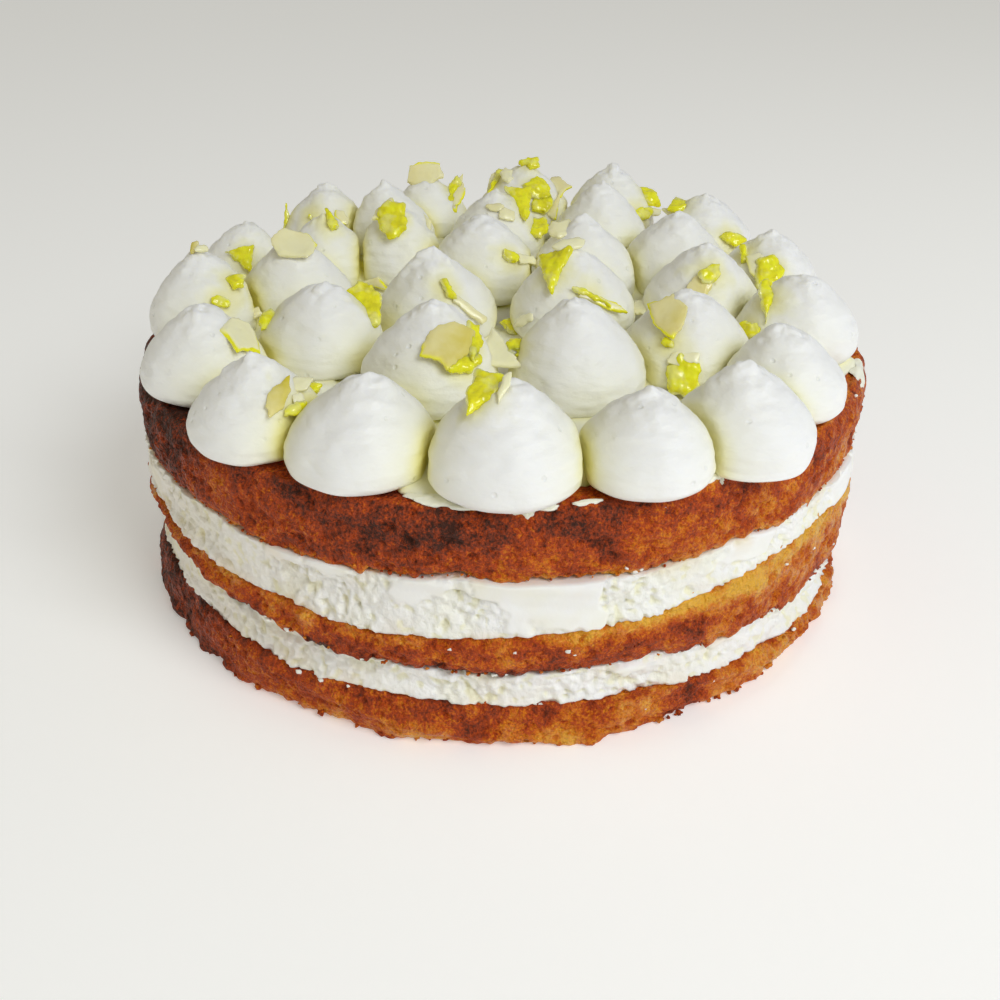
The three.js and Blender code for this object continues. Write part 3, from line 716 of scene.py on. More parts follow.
def zest_material(settings):
    """Candied rind: glossy sugared lemon skin with bumpy oil cells, greener in clouds of 3 mm.

    It is faded at its edges and in patches of 5 mm. Light goes 2 mm deep into it and comes out yellow.
    """
    material, add, where = new_material("candied_lemon_zest")
    edge = add("Attribute", attribute_name="rind").outputs["Fac"]
    cloud = add("TexNoise", {"Vector": where, "Scale": 1 / (3 * MM), "Detail": 4})
    drift = add("TexNoise", {"Vector": where, "Scale": 1 / (5 * MM), "Detail": 3})
    share = add("MapRange", {"Value": cloud, "From Min": 0.42, "From Max": 0.7})
    faded = add("MapRange", {"Value": drift, "From Min": 0.52, "From Max": 0.64, "To Max": 0.55})
    pale = add("Math", {0: edge, 1: faded}, operation="MAXIMUM")
    colour = linear(settings.zest_colour)
    for factor, other in ((share, settings.green_colour), (pale, settings.rim_colour)):
        colour = add("Mix", {0: factor, 6: colour, 7: linear(other)}, data_type="RGBA").outputs[2]
    cell = add("TexVoronoi", {"Vector": where, "Scale": 1 / (settings.peel_grain * MM)})
    bump = add("Bump", {"Strength": 0.4, "Distance": 0.3 * MM, "Height": cell})
    shader = add("BsdfPrincipled", {
        "Base Color": colour, "Roughness": 0.2, "IOR": 1.47, "Subsurface Weight": 0.8,
        "Subsurface Radius": (1.0, 0.95, 0.3), "Subsurface Scale": 2 * MM, "Coat Weight": 0.35,
        "Normal": bump})
    add("OutputMaterial", {"Surface": shader})
    return material


def round_of_cake(columns, rows, rim_rings):
    """A unit cylinder whose wall is cut into rows and whose two faces are cut into rings and a fan."""
    start()
    bpy.ops.mesh.primitive_cylinder_add(vertices=columns, radius=1, depth=1, end_fill_type="NGON",
                                        location=(0, 0, 0.5))
    bpy.ops.object.transform_apply(location=True, rotation=False, scale=False)
    piece = bpy.context.active_object
    heights = places(piece)[:, 2]
    ends = np.empty(2 * len(piece.data.edges), dtype=np.int32)
    piece.data.edges.foreach_get("vertices", ends)
    upright = np.abs(np.diff(heights[ends.reshape(-1, 2)], axis=1))[:, 0] > 0.5
    bpy.ops.object.mode_set(mode="EDIT")
    bpy.ops.mesh.select_mode(type="EDGE")
    bpy.ops.mesh.select_all(action="DESELECT")
    bpy.ops.object.mode_set(mode="OBJECT")
    piece.data.edges.foreach_set("select", upright)
    bpy.ops.object.mode_set(mode="EDIT")
    bpy.ops.mesh.subdivide(number_cuts=rows - 1)
    bpy.ops.mesh.select_all(action="DESELECT")
    bpy.ops.mesh.select_mode(type="FACE")
    bpy.ops.mesh.select_face_by_sides(number=4, type="GREATER", extend=False)
    for width in rim_rings:
        bpy.ops.mesh.inset(thickness=width, use_individual=True)
    bpy.ops.mesh.poke()
    bpy.ops.object.mode_set(mode="OBJECT")
    return piece


def layer_points(layer, azimuth, reach, share):
    """Where a point of a unit cylinder goes in a layer: distance from the axis, height, local thickness."""
    low_joint, high_joint, radius, wall, relief, seed, _ = layer
    distance = reach * (radius + wall_offset(wall, share))
    low = joint_height(low_joint, azimuth, distance) + (0 if low_joint == "foot" else GAP / 2)
    high = joint_height(high_joint, azimuth, distance) - (0 if high_joint == "top" else GAP / 2)
    height = low + (high - low) * share
    crags = sum(ripple(azimuth + slant * share, seed + WAVE_SEED * index, waves)
                for index, (waves, slant) in enumerate(CRAGS))
    lean = FOOT_LEAN + (TOP_LEAN - FOOT_LEAN) * height / CAKE_HEIGHT
    out = distance + reach * (CRAG_SHARE * relief * crags + lean * np.cos(azimuth))
    return out, height, high - low


def unit_parts(piece):
    """Azimuth, share of the radius and share of the height of each vertex of a unit cylinder."""
    unit = places(piece)
    reach = np.minimum(np.hypot(unit[:, 0], unit[:, 1]), 1)
    return np.arctan2(unit[:, 1], unit[:, 0]), reach, np.clip(unit[:, 2], 0, 1)


def cylinder_points(azimuth, out, height):
    """Points from azimuth, distance and height."""
    return np.stack([out * np.cos(azimuth), out * np.sin(azimuth), height], axis=1)


def bake_of(name, azimuth, share, points):
    """How dark the crust is, 0 for pale crumb to 1 for the darkest: in patches and blotches, and darker on
    the left.
    """
    across = points[:, 0] / SIDE_RADIUS
    left = ease(-across, 0.5, 0.98)
    if name == "sponge_top":
        # Darkest on the left and towards the top, paler along its foot and along most of its rim.
        bake = 0.76 - 0.19 * ease(across, -0.12, 0.2) + 0.2 * left + 0.16 * (share - 0.45)
        bake = bake - 0.26 * ease(0.14 - share, 0, 0.14)
        bake = bake - 0.2 * ease(share, 0.95, 1) * ease(across, -0.8, -0.3)
    elif name == "sponge_middle":
        # Darker along its foot, and golden towards its head and the right.
        bake = 0.56 - 0.1 * ease(across, 0, 0.6) + 0.1 * ease(0.5 - share, 0, 0.5)
        bake = bake - (0.16 + 0.16 * ease(across, 0.1, 0.5)) * ease(share, 0.55, 0.9)
    else:
        # Darker on the left and at its head, with stretches of its foot that the tin kept pale.
        bake = 0.5 - 0.14 * across + 0.28 * left + 0.06 * ease(share, 0.5, 1)
        bake = bake - 0.26 * ease(ripple(azimuth, 8, 6), 0.2, 0.8) * ease(0.5 - share, 0, 0.4)
    for at, level, wide, tall, change in BAKE_PATCHES[name]:
        spread = (turned(azimuth, at) * SIDE_RADIUS / wide) ** 2 + ((points[:, 2] - level) / tall) ** 2
        bake = bake + change * np.exp(-spread)
    blotches = lumpy(points, (0.1, 5.5, 18), (0.08, 2.4, 19)) * (0.4 + 0.6 * ease(across, -0.2, 0.5))
    return np.clip(bake + 0.06 * ripple(azimuth, 3, 4) + blotches, 0, 1)


def slit_depth(azimuth):
    """How far the joint under the middle sponge gapes at an azimuth, in mm."""
    return sum(deep * np.exp(-(turned(azimuth, at) * SIDE_RADIUS / half_width) ** 4)
               for at, half_width, deep in GAPING_JOINT)


def build_sponge(name, layer, settings, material):
    """A round of sponge with crags, open crumb, pits and ragged edges."""
    piece = round_of_cake(WALL_COLUMNS, layer[6], TOP_RINGS if name == "sponge_top" else FACE_RINGS)
    azimuth, reach, share = unit_parts(piece)
    out, height, thick = layer_points(layer, azimuth, reach, share)
    points = cylinder_points(azimuth, out, height)
    side = ease(reach, 0.97, 1)
    relief = settings.crumb_relief
    crumb = relief * lumpy(points, (0.9, 6, 1), (0.6, 2.6, 2), (0.5, 1.1, 3))
    crevices = ease(lumps(points * (1, 1, 1.5), 4, 11) + 0.4 * lumps(points, 1.5, 12), 0.45, 0.8)
    holes = ease(lumpy(points, (1, 1.4, 13), (0.25, 5, 14)), 0.3, 0.7)
    pits = relief * (CREVICE_DEPTH * crevices + HOLE_DEPTH * holes)

    # Its two edges are ragged up and down, more so in some stretches and on the right, and a little drawn in.
    from_foot = share * thick
    from_head = (1 - share) * thick
    rim = cylinder_points(azimuth, out * 0 + layer[2], 0 * height)
    rag = lumpy(rim, (1, 3.2, 5), (0.8, 1.4, 6))
    wild = 0.6 + 0.6 * ease(lumps(rim, 24, 16), -0.2, 0.4) + 0.6 * ease(rim[:, 0], 25, 80)
    drawn_in = 0.8 * np.exp(-from_foot / 0.7) + 0.6 * np.exp(-from_head / 0.8)
    # Painted shade: where the joint gapes, the foot of the middle sponge is painted darker for the shade in
    # the slit.
    slit_shade = 0
    if name == "sponge_middle":
        drawn_in = drawn_in - 0.3 * slit_depth(azimuth) * np.exp(-from_foot / 2)
        slit_shade = 0.3 * slit_depth(azimuth) * np.exp(-(from_foot / 1.7) ** 2)
    out = out + side * (crumb - pits - drawn_in)
    if name == "sponge_bottom":
        # Its foot spreads unevenly and stays level.
        out = out + side * np.exp(-from_foot / 2.5) * (1.3 * lumps(rim, 5, 15) + 0.5 * rag)
    else:
        height = height + side * 0.9 * wild * rag * np.exp(-from_foot / 2)
    if name == "sponge_top":
        # Its upper face is rough and a little below the kisses, and its rim rises and falls.
        flat = ease(share, 0.98, 1) * ease(0.995 - reach, 0, 0.01)
        height = height + flat * (lumpy(points, (0.45, 2.6, 4), (0.35, 1.3, 7)) - 0.55)
        height = height + 0.5 * side * ease(share, 0.9, 1) * (lumps(rim, 3, 8) - 0.4)
    else:
        height = height + side * wild * lumpy(rim, (0.9, 4, 9), (0.6, 1.6, 10)) * np.exp(-from_head / 1.8)
    # The crust is painted darker in its pits and crevices, as painted shade.
    bake = bake_of(name, azimuth, share, points) + 0.12 * ease(pits, 0.2, 0.9) + slit_shade
    paint(piece, "bake", bake)
    put(piece, cylinder_points(azimuth, out, np.maximum(height, 0)))
    return finish_piece(piece, name + "_crust", material, (name,))


def build_filling(name, layer, settings, material):
    """A round of cream: torn and airy in most places, wiped smooth in some."""
    piece = round_of_cake(WALL_COLUMNS, layer[6], FACE_RINGS)
    azimuth, reach, share = unit_parts(piece)
    out, height, thick = layer_points(layer, azimuth, reach, share)
    points = cylinder_points(azimuth, out, height)
    side = ease(reach, 0.97, 1)
    edge = lumpy(points, (3, 7, 22), (1.2, 2, 27))
    wiped = np.zeros(len(points))
    for at, level, wide, tall in WIPED_PATCHES[name]:
        aside = np.abs(turned(azimuth, at) * SIDE_RADIUS)
        inside = np.minimum(wide - aside, tall - np.abs(points[:, 2] - level)) + edge
        wiped = np.maximum(wiped, ease(inside, 0, 1.6))

    # Torn cream, all in shares of its relief: folds, a ruffled skin, pores, and deep tears.
    swirl = np.stack([lumps(points, 5, seed) for seed in (45, 46, 47)], axis=1)
    warped = points + 1.1 * swirl
    airy = ease(lumps(points, 11, 38) + 0.3, -0.2, 0.5)
    folds = 0.55 * lumps(warped * (1, 1, 1.3), 8, 23) + 0.3 * lumps(warped, 3.4, 24)
    ruffle = lumpy(points, (0.35, 1.9, 25), (0.75, 1.15, 37)) * (0.5 + 0.9 * airy)
    pores = ease(lumps(warped, 1.6, 26) + 0.25 * lumps(points, 4, 39), 0.25, 0.65)
    tears = ease(lumps(warped * (1, 1, 1.3), 7, 40) + 0.2 * lumps(points, 1.7, 44), 0.5, 0.62)
    torn = settings.filling_relief * (folds + ruffle - (0.3 + 0.7 * airy) * pores - 0.9 * tears - 0.15)
    smooth = 0.75 + lumpy(points, (0.25, 14, 28), (0.04, 4, 29))
    out = out + side * (torn * (1 - wiped) + smooth * wiped)
    if name == "cream_lower":
        out = out - side * 2.4 * slit_depth(azimuth) * np.exp(-((1 - share) * thick / 1.1) ** 2)
    from_edge = np.minimum(share, 1 - share) * thick
    soaked = 0.25 * ease(lumps(points, 7, 36), 0.1, 0.7) * np.exp(-from_edge / 2.5)
    # Crust stains the cream near its edges; the tint that rises towards the left is painted warm light.
    paint(piece, "stain_and_painted_warmth", soaked + 0.14 * ease(-points[:, 0] / SIDE_RADIUS, 0, 0.9))
    paint(piece, "rough", 1 - 0.85 * wiped)
    # Painted shade: the pores and tears of the torn cream are tinted lemon.
    paint(piece, "deep", (1 - wiped) * np.clip(0.5 * pores + 0.15 * tears, 0, 1))
    put(piece, cylinder_points(azimuth, out, height))
    return finish_piece(piece, name + "_filling", material, (name,))


def kisses():
    """Place and size of every kiss, in mm."""
    found = []
    for index, (azimuth, distance, radius, height, lean) in enumerate(KISS_RINGS):
        angle = math.radians(azimuth)
        x = TOP_LEAN + distance * math.cos(angle)
        found.append({"name": f"kiss_{index + 1:02d}", "number": index + 1, "seed": KISS_SEED * index, "x": x,
                      "y": distance * math.sin(angle), "radius": radius, "height": height, "lean": lean})
    return found


def kiss_width(share):
    """Radius of a kiss at a share of its height, as a share of its greatest radius."""
    share = np.clip(share, 0, 1)
    swollen = np.sin(np.minimum(share / KISS_FOOT_HEIGHT, 1) * math.pi / 2)
    foot = KISS_FOOT_WIDTH + (1 - KISS_FOOT_WIDTH) * swollen
    return foot * np.maximum(0, 1 - share ** KISS_BELLY) ** KISS_SHOULDER / KISS_WIDEST


def contact_planes(kiss, others):
    """The upright planes on which a kiss meets its neighbours: direction to each, and distance along it."""
    planes = []
    for other in others:
        x, y = other["x"] - kiss["x"], other["y"] - kiss["y"]
        apart = math.hypot(x, y)
        if other is not kiss and apart <= KISS_REACH:
            reach = (apart ** 2 + kiss["radius"] ** 2 - other["radius"] ** 2) / (2 * apart)
            planes.append((x / apart, y / apart, reach - GAP / 2))
    return planes


def pressed(x, y, planes):
    """Points from the axis of a kiss, pressed flat against its neighbours, and painted shade in its creases.
    """
    for _ in range(PRESSINGS):
        for nx, ny, reach in planes:
            past = x * nx + y * ny - reach
            softly = np.clip(past + PRESS_SOFTNESS, 0, None) ** 2 / (4 * PRESS_SOFTNESS)
            pull = np.where(past > PRESS_SOFTNESS, past, softly)
            x = x - pull * nx
            y = y - pull * ny
    tint_and_crease_shade = np.zeros(len(x))
    for nx, ny, reach in planes:
        tint_and_crease_shade = np.maximum(tint_and_crease_shade, np.exp(-np.clip(reach - x * nx - y * ny, 0, None) / CREASE_SHADE_REACH))
    return x, y, np.maximum(tint_and_crease_shade, 0.4 * tint_and_crease_shade ** 0.4)


def crown(kiss, x, y):
    """Rise of the cream at places counted from the tip, in mm: a blunt tip, a nub beside it, and folds."""
    seed = kiss["seed"]
    blunt = (0.8 + 0.7 * chance(seed + 0.1)) * np.exp(-(np.hypot(x, y) / BLUNT_RADIUS) ** 2)
    aside = TURN * chance(seed + 0.2)
    from_nub = np.hypot(x - NUB_ASIDE * math.cos(aside), y - NUB_ASIDE * math.sin(aside))
    rise = (0.1 + 0.7 * chance(seed + 0.3)) * np.exp(-(from_nub / NUB_RADIUS) ** 2) - blunt
    for x1, y1, x2, y2, wide, tall in rows_of(KISS_FOLDS, kiss["number"]):
        run = (x2 - x1) ** 2 + (y2 - y1) ** 2
        along = np.clip(((x - x1) * (x2 - x1) + (y - y1) * (y2 - y1)) / run, 0, 1)
        apart = np.hypot(x - x1 - along * (x2 - x1), y - y1 - along * (y2 - y1))
        rise = rise + tall * np.exp(-(apart / wide) ** 4)
    return rise


def build_kiss(kiss, planes, stains, material):
    """A piped kiss: a full belly, a drawn-out nub, and flats where it is pressed against its neighbours."""
    start()
    bpy.ops.mesh.primitive_uv_sphere_add(segments=KISS_SEGMENTS, ring_count=KISS_RINGS_UP, radius=1)
    piece = bpy.context.active_object
    unit = places(piece)
    seed = kiss["seed"]
    azimuth = np.arctan2(unit[:, 1], unit[:, 0])
    ring = np.round(np.arccos(np.clip(-unit[:, 2], -1, 1)) / math.pi * KISS_RINGS_UP)
    share = np.clip((ring - KISS_FOOT_RINGS) / (KISS_RINGS_UP - KISS_FOOT_RINGS), 0, 1)
    inner = np.clip(ring / KISS_FOOT_RINGS, 0, 1)
    tucked = 1 - KISS_TUCK * (1 - np.clip(share / KISS_TUCK_HEIGHT, 0, 1)) ** 2
    distance = inner * tucked * kiss_width(share) * kiss["radius"]
    for bearing, half_angle, reach in rows_of(KISS_SKIRTS, kiss["number"]):
        spread = reach * np.exp(-(turned(azimuth, bearing) / math.radians(half_angle)) ** 4)
        distance = distance + inner * spread * (1 - ease(share, 0.05, 0.11))
    swelling = 1 + KISS_SWELLING * ripple(azimuth, seed, KISS_SWELLS)
    ridges = RIDGE_DEPTH * np.sin(RIDGE_ROUNDS * share + RIDGE_DRIFT * np.cos(azimuth + seed))
    distance = distance * swelling + ridges * ease(share, 0.3, 0.9) * inner * (share < 1)
    x = distance * np.cos(azimuth) + kiss["lean"] * share ** 2
    x, y, tint_and_crease_shade = pressed(x, distance * np.sin(azimuth), planes)

    # The cream is lumpy all over and wrinkled most near the tip.
    height = CAKE_HEIGHT + GAP + kiss["height"] * share
    height = height + ease(share, 0.3, 0.6) * crown(kiss, x - kiss["lean"], y)
    points = np.stack([kiss["x"] + x, kiss["y"] + y, height], axis=1)
    above = inner * ease(share, 0, 0.2)
    points[:, 2] += above * lumpy(points, (0.5, 8, seed), (0.16, 3.2, seed + 1))
    from_tip = np.hypot(x - kiss["lean"], y)
    near_tip = np.exp(-(from_tip / TIP_REACH) ** 2)
    wrinkle = lumps(points * (1, 1, 3), 5, seed + 2) + 0.6 * lumps(points * (1, 1, 2), 2.6, seed + 3)
    pushed = above * (0.2 + 0.55 * near_tip) * wrinkle * ease(from_tip, 0, 2)
    points[:, 0] += pushed * np.cos(azimuth)
    points[:, 1] += pushed * np.sin(azimuth)
    points[:, 2] += above * near_tip * lumpy(points, (0.5, 2.2, seed + 4), (0.2, 1.1, seed + 7))

    # Painted shade, tinted lemon: strongest low in the creases and on the left side. Round the rind that
    # lies on the cream, the cream is tinted lemon too.
    tint_and_crease_shade = tint_and_crease_shade * (1 - 0.4 * share) * (1.1 - 0.5 * ease(points[:, 0] / SIDE_RADIUS, -0.1, 0.7))
    uneven = 1 + lumpy(points, (0.5, 5, seed + 5), (0.3, 2, seed + 6))
    for spot in stains:
        tint_and_crease_shade = np.maximum(tint_and_crease_shade, 0.6 * np.exp(-np.sum((points - spot) ** 2, axis=1) * uneven / 30))
    paint(piece, "tint_and_crease_shade", np.clip(tint_and_crease_shade, 0, 1))
    put(piece, points)
    return finish_piece(piece, kiss["name"] + "_piped", material, (kiss["name"],))


def build_film(found, material):
    """Cream spread thinly under the kisses, drawn up round their feet and bare in places."""
    piece = round_of_cake(FILM_COLUMNS, 2, FILM_RINGS)
    azimuth, reach, share = unit_parts(piece)
    edge = FILM_RADIUS + 2.5 * ripple(azimuth, 31, 9)
    for first, last in FILM_SPILLS:
        inside = math.radians(last - first) / 2 - np.abs(turned(azimuth, (first + last) / 2))
        edge = edge + FILM_SPILL * ease(inside, -0.03, 0.03)
    points = cylinder_points(azimuth, reach * edge, 0 * azimuth)
    points[:, 0] += TOP_LEAN
    apart = np.sort([np.hypot(points[:, 0] - kiss["x"], points[:, 1] - kiss["y"]) - 0.86 * kiss["radius"]
                     for kiss in found], axis=0)
    foot = np.exp(-np.clip(apart[0], 0, None) / 1.3)
    between = np.exp(-np.clip(apart[0] + apart[1], 0, None) / 3)
    bare = ease(-lumps(points, 13, 33), 0.25, 0.4) * (1 - ease(between, 0.1, 0.3))
    for x, y, radius in BARE_SPOTS:
        inside = radius + 1.5 * lumps(points, 4, 34) - np.hypot(points[:, 0] - x, points[:, 1] - y)
        bare = np.maximum(bare, ease(inside, 0, 1.2))
    cream = FILM_THICKNESS * (0.75 + 0.3 * lumps(points, 8, 32)) + 1.1 * foot + 5 * between
    cream = cream * (1 - bare) * ease((1 - reach) * edge, -0.4, 1.6) - 0.5 * bare
    points[:, 2] = CAKE_HEIGHT - FILM_SUNK + share * (FILM_SUNK + cream)
    # Painted shade: the spread cream is tinted lemon at the feet of the kisses and most between them, over a
    # faint even tint.
    paint(piece, "tint_and_crease_shade", np.clip(0.22 + 0.5 * foot + 0.45 * between, 0, 1))
    put(piece, points)
    return finish_piece(piece, "cream_film", material)


def build_smears(material):
    """Little smears of cream that ran over the rim of the top sponge.

    Each is a ball with a ragged outline, whose X runs along the rim and whose Y over the edge and down.
    """
    layer = SPONGES["sponge_top"]
    smears = []
    for index, (at, half_length, inward, down, thick) in enumerate(RIM_SMEARS):
        start()
        bpy.ops.mesh.primitive_uv_sphere_add(segments=SMEAR_SEGMENTS, ring_count=SMEAR_RINGS, radius=1)
        smear = bpy.context.active_object
        unit = places(smear)
        edge = 1 + 0.3 * lumps(unit * 1.6 + 9 * index, 1, 41) + 0.12 * lumps(unit * 4 + 9 * index, 1, 42)
        along = unit[:, 0] * edge
        across = unit[:, 1] * edge
        azimuth = math.radians(at) + along * half_length / SIDE_RADIUS
        travel = (across + 1) / 2 * (inward + down) - inward
        tall = float(np.mean(layer_points(layer, azimuth, 1, 1)[2]))
        out, height, _ = layer_points(layer, azimuth, 1, 1 - np.clip(travel, 0, None) / tall)
        over = ease(travel, -0.8, 1) * math.pi / 2
        raised = unit[:, 2] * thick * (1 + 0.5 * lumps(unit * 4 + 5 * index, 1, 43))
        stand = np.where(unit[:, 2] > 0, raised, unit[:, 2] * SMEAR_SUNK) + 0.1
        out = out - SMEAR_SUNK + np.minimum(travel, 0) + stand * np.sin(over)
        put(smear, cylinder_points(azimuth, out, height + stand * np.cos(over)))
        paint(smear, "tint_and_crease_shade", np.full(len(unit), 0.2))
        smears.append(smear)
    return finish_piece(joined(smears), "rim_smears", material)


def unit_ball():
    """Points and faces of the ball from which crumbs and flecks are shaped."""
    start()
    bpy.ops.mesh.primitive_ico_sphere_add(subdivisions=2, radius=1)
    template = bpy.context.active_object
    ball = places(template)
    faces = np.array([tuple(face.vertices) for face in template.data.polygons])
    bpy.data.objects.remove(template)
    return ball, faces


def bits_object(shapes, faces):
    """One object from many little balls in mm, all with the same faces."""
    points = np.concatenate(shapes)
    polygons = np.concatenate([faces + index * len(shapes[0]) for index in range(len(shapes))])
    mesh = bpy.data.meshes.new("bits")
    mesh.from_pydata(points.tolist(), [], polygons.tolist())
    piece = bpy.data.objects.new("bits", mesh)
    bpy.context.scene.collection.objects.link(piece)
    put(piece, points)
    return piece


def build_flecks(material):
    """Flecks of cream that stick to the sponge."""
    ball, faces = unit_ball()
    shapes = []
    flecks = [(name, *row) for name, rows in CREAM_FLECKS for row in rows]
    for index, (name, at, share, size) in enumerate(flecks):
        azimuth = math.radians(at)
        out, height, _ = layer_points(SPONGES[name], azimuth, 1, share)
        shape = ball * (1 + 0.6 * lumps(ball * 1.4 + 7 * index, 1, 61)[:, None]) * size * FLECK_SHAPE
        away = np.array([math.cos(azimuth), math.sin(azimuth), 0])
        across = np.array([-away[1], away[0], 0])
        shape = shape[:, :1] * away + shape[:, 1:2] * across + shape[:, 2:] * (0, 0, 1)
        shapes.append(shape + out * away + (0, 0, height))
    piece = bits_object(shapes, faces)
    paint(piece, "tint_and_crease_shade", np.full(len(piece.data.vertices), 0.1))
    return finish_piece(piece, "cream_flecks", material)


def build_crumbs(material):
    """Crumbs of crust that cling to the edges and foot of the sponge, none of them below the floor."""
    ball, faces = unit_ball()
    shapes, bakes = [], []
    for row, (name, count, lowest, highest, smallest, largest) in enumerate(CRUMB_ROWS):
        for index in range(count):
            seed = CRUMB_SEED * row + index
            azimuth = TURN * chance(seed + 0.1)
            share = lowest + (highest - lowest) * chance(seed + 0.2)
            size = smallest + (largest - smallest) * chance(seed + 0.3) ** 2
            out, height, _ = layer_points(SPONGES[name], azimuth, 1, share)
            out = out - CRUMB_SUNK
            centre = np.array([out * math.cos(azimuth), out * math.sin(azimuth), height])
            shape = ball * (1 + 0.55 * lumps(ball * 1.3 + seed, 1, 51)[:, None]) * size
            shape = shape * (0.8 + 0.4 * chance(seed + 0.4), 0.8 + 0.4 * chance(seed + 0.5), 0.8)
            centre[2] = max(centre[2], -shape[:, 2].min())
            shapes.append(shape + centre)
            bakes.append(np.full(len(ball), 0.35 + 0.35 * chance(seed + 0.6)))
    piece = bits_object(shapes, faces)
    paint(piece, "bake", np.concatenate(bakes))
    return finish_piece(piece, "crust_crumbs", material)


def shard_pose(row, thickness, found):
    """How a piece of peel lies on its kiss, as a matrix in mm."""
    number, bearing, share, _, _, turn, facing, tilt, _ = row
    kiss = found[number - 1]
    bearing, turn, azimuth, lean = (math.radians(angle) for angle in (bearing, turn, facing, tilt))
    normal = Vector((math.sin(lean) * math.cos(azimuth), math.sin(lean) * math.sin(azimuth), math.cos(lean)))
    level = Vector((-math.sin(azimuth), math.cos(azimuth), 0))
    slope = normal.cross(level)
    radius = float(kiss_width(share)) * kiss["radius"]
    spot = Vector((kiss["x"] + kiss["lean"] * share ** 2 + radius * math.cos(bearing),
                   kiss["y"] + radius * math.sin(bearing), CAKE_HEIGHT + GAP + kiss["height"] * share))
    place = Matrix.Translation(spot + normal * thickness / 4)
    return place @ Matrix((level, slope, normal)).transposed().to_4x4() @ Matrix.Rotation(turn, 4, "Z")


def edge_distance(points, corners):
    """How far points lie from the outline of a flat piece, seen from above, in mm."""
    nearest = np.full(len(points), np.inf)
    for first, second in zip(corners, corners[1:] + corners[:1]):
        along = np.array(second) - np.array(first)
        away = points[:, :2] - np.array(first)
        share = np.clip(away @ along / (along @ along), 0, 1)
        nearest = np.minimum(nearest, np.linalg.norm(away - share[:, None] * along, axis=1))
    return nearest


def build_shard(row, look, shape, seed, found):
    """One angular piece of peel, laid on its kiss. Its look says how amber it is, and how edged with rind."""
    thickness, _, grain, relief = shape
    length, width = row[3:5]
    corners = [(along * length, across * width) for along, across in PEEL_OUTLINES[row[8]]]
    start()
    bpy.ops.mesh.primitive_circle_add(vertices=len(corners), radius=1, fill_type="NGON")
    shard = bpy.context.active_object
    flat = [(x, y, -thickness / 2) for x, y in corners]
    shard.data.vertices.foreach_set("co", np.array(flat).ravel())
    bpy.ops.object.mode_set(mode="EDIT")
    bpy.ops.mesh.select_all(action="SELECT")
    bpy.ops.mesh.extrude_region_move(TRANSFORM_OT_translate={"value": (0, 0, thickness)})
    bpy.ops.mesh.select_all(action="SELECT")
    bpy.ops.mesh.normals_make_consistent(inside=False)
    bpy.ops.object.mode_set(mode="OBJECT")
    remesh = shard.modifiers.new("even faces", "REMESH")
    remesh.mode = "VOXEL"
    remesh.voxel_size = PEEL_VOXEL
    bpy.ops.object.modifier_apply(modifier=remesh.name)

    # Colour of the flat piece, then its thin ragged edge, its bend and twist, and the lumps of its skin. The
    # lumps are read at a place of its own, so that no two pieces are alike.
    points = places(shard)
    elsewhere = np.array([31.0 * seed, 17.0 * seed, 7.0 * seed])
    inside = edge_distance(points, corners)
    slant = points[:, 1] / width + 0.3 * lumps(points + elsewhere, 4, seed)
    amber, edged = look
    paint(shard, "rind", ease(0.7 - inside, 0, 0.5) * ease(slant + edged, 0.4, 0.7) * (edged > 0))
    paint(shard, "tone", amber * (0.65 + 0.35 * ease(-points[:, 0] / length, -0.4, 0.3)))
    thin = ease(inside, 0, 1.2)
    points[:, 2] *= 0.55 + 0.45 * thin
    ragged = lumpy(points + elsewhere, (0.5, 2.2, seed + 1), (0.3, 1, seed + 2), (0.9, 5, seed + 3))
    points[:, :2] *= 1 + (ragged / (0.5 * (length + width)) * 2 * (1 - thin))[:, None]
    bend = (chance(seed + 0.3) - 0.5) * 0.04
    twist = (chance(seed + 0.4) - 0.5) * 0.06
    points[:, 2] += bend * points[:, 0] ** 2 + twist * points[:, 0] * points[:, 1]
    normals = np.empty(3 * len(points))
    shard.data.vertices.foreach_get("normal", normals)
    swell = relief * lumpy(points + elsewhere, (1, grain, seed), (0.5, grain / 2, seed))
    points += normals.reshape(-1, 3) * swell[:, None]
    pose = np.array(shard_pose(row, thickness, found))
    put(shard, points @ pose[:3, :3].T + pose[:3, 3])
    return shard


def build_peel(name, rows, looks, shape, material):
    """All pieces of one kind of peel, joined into one mesh."""
    found = kisses()
    shards = [build_shard(row, look, shape, shape[1] + index, found)
              for index, (row, look) in enumerate(zip(rows, looks))]
    return finish_piece(joined(shards), name, material)


class CAKE_OT_sponges(bpy.types.Operator):
    """Builds the three rounds of sponge"""

    bl_idname = "cake.sponges"
    bl_label = "Sponge layers"

    def execute(self, context):
        settings = context.scene.cake_sponge
        material = sponge_material(settings)
        for name, layer in SPONGES.items():
            build_sponge(name, layer, settings, material)
        build_crumbs(material)
        return {"FINISHED"}


class CAKE_OT_fillings(bpy.types.Operator):
    """Builds the two rounds of lemon cream"""

    bl_idname = "cake.fillings"
    bl_label = "Cream fillings"

    def execute(self, context):
        settings = context.scene.cake_cream
        material = filling_material(settings)
        for name, layer in CREAMS.items():
            build_filling(name, layer, settings, material)
        return {"FINISHED"}


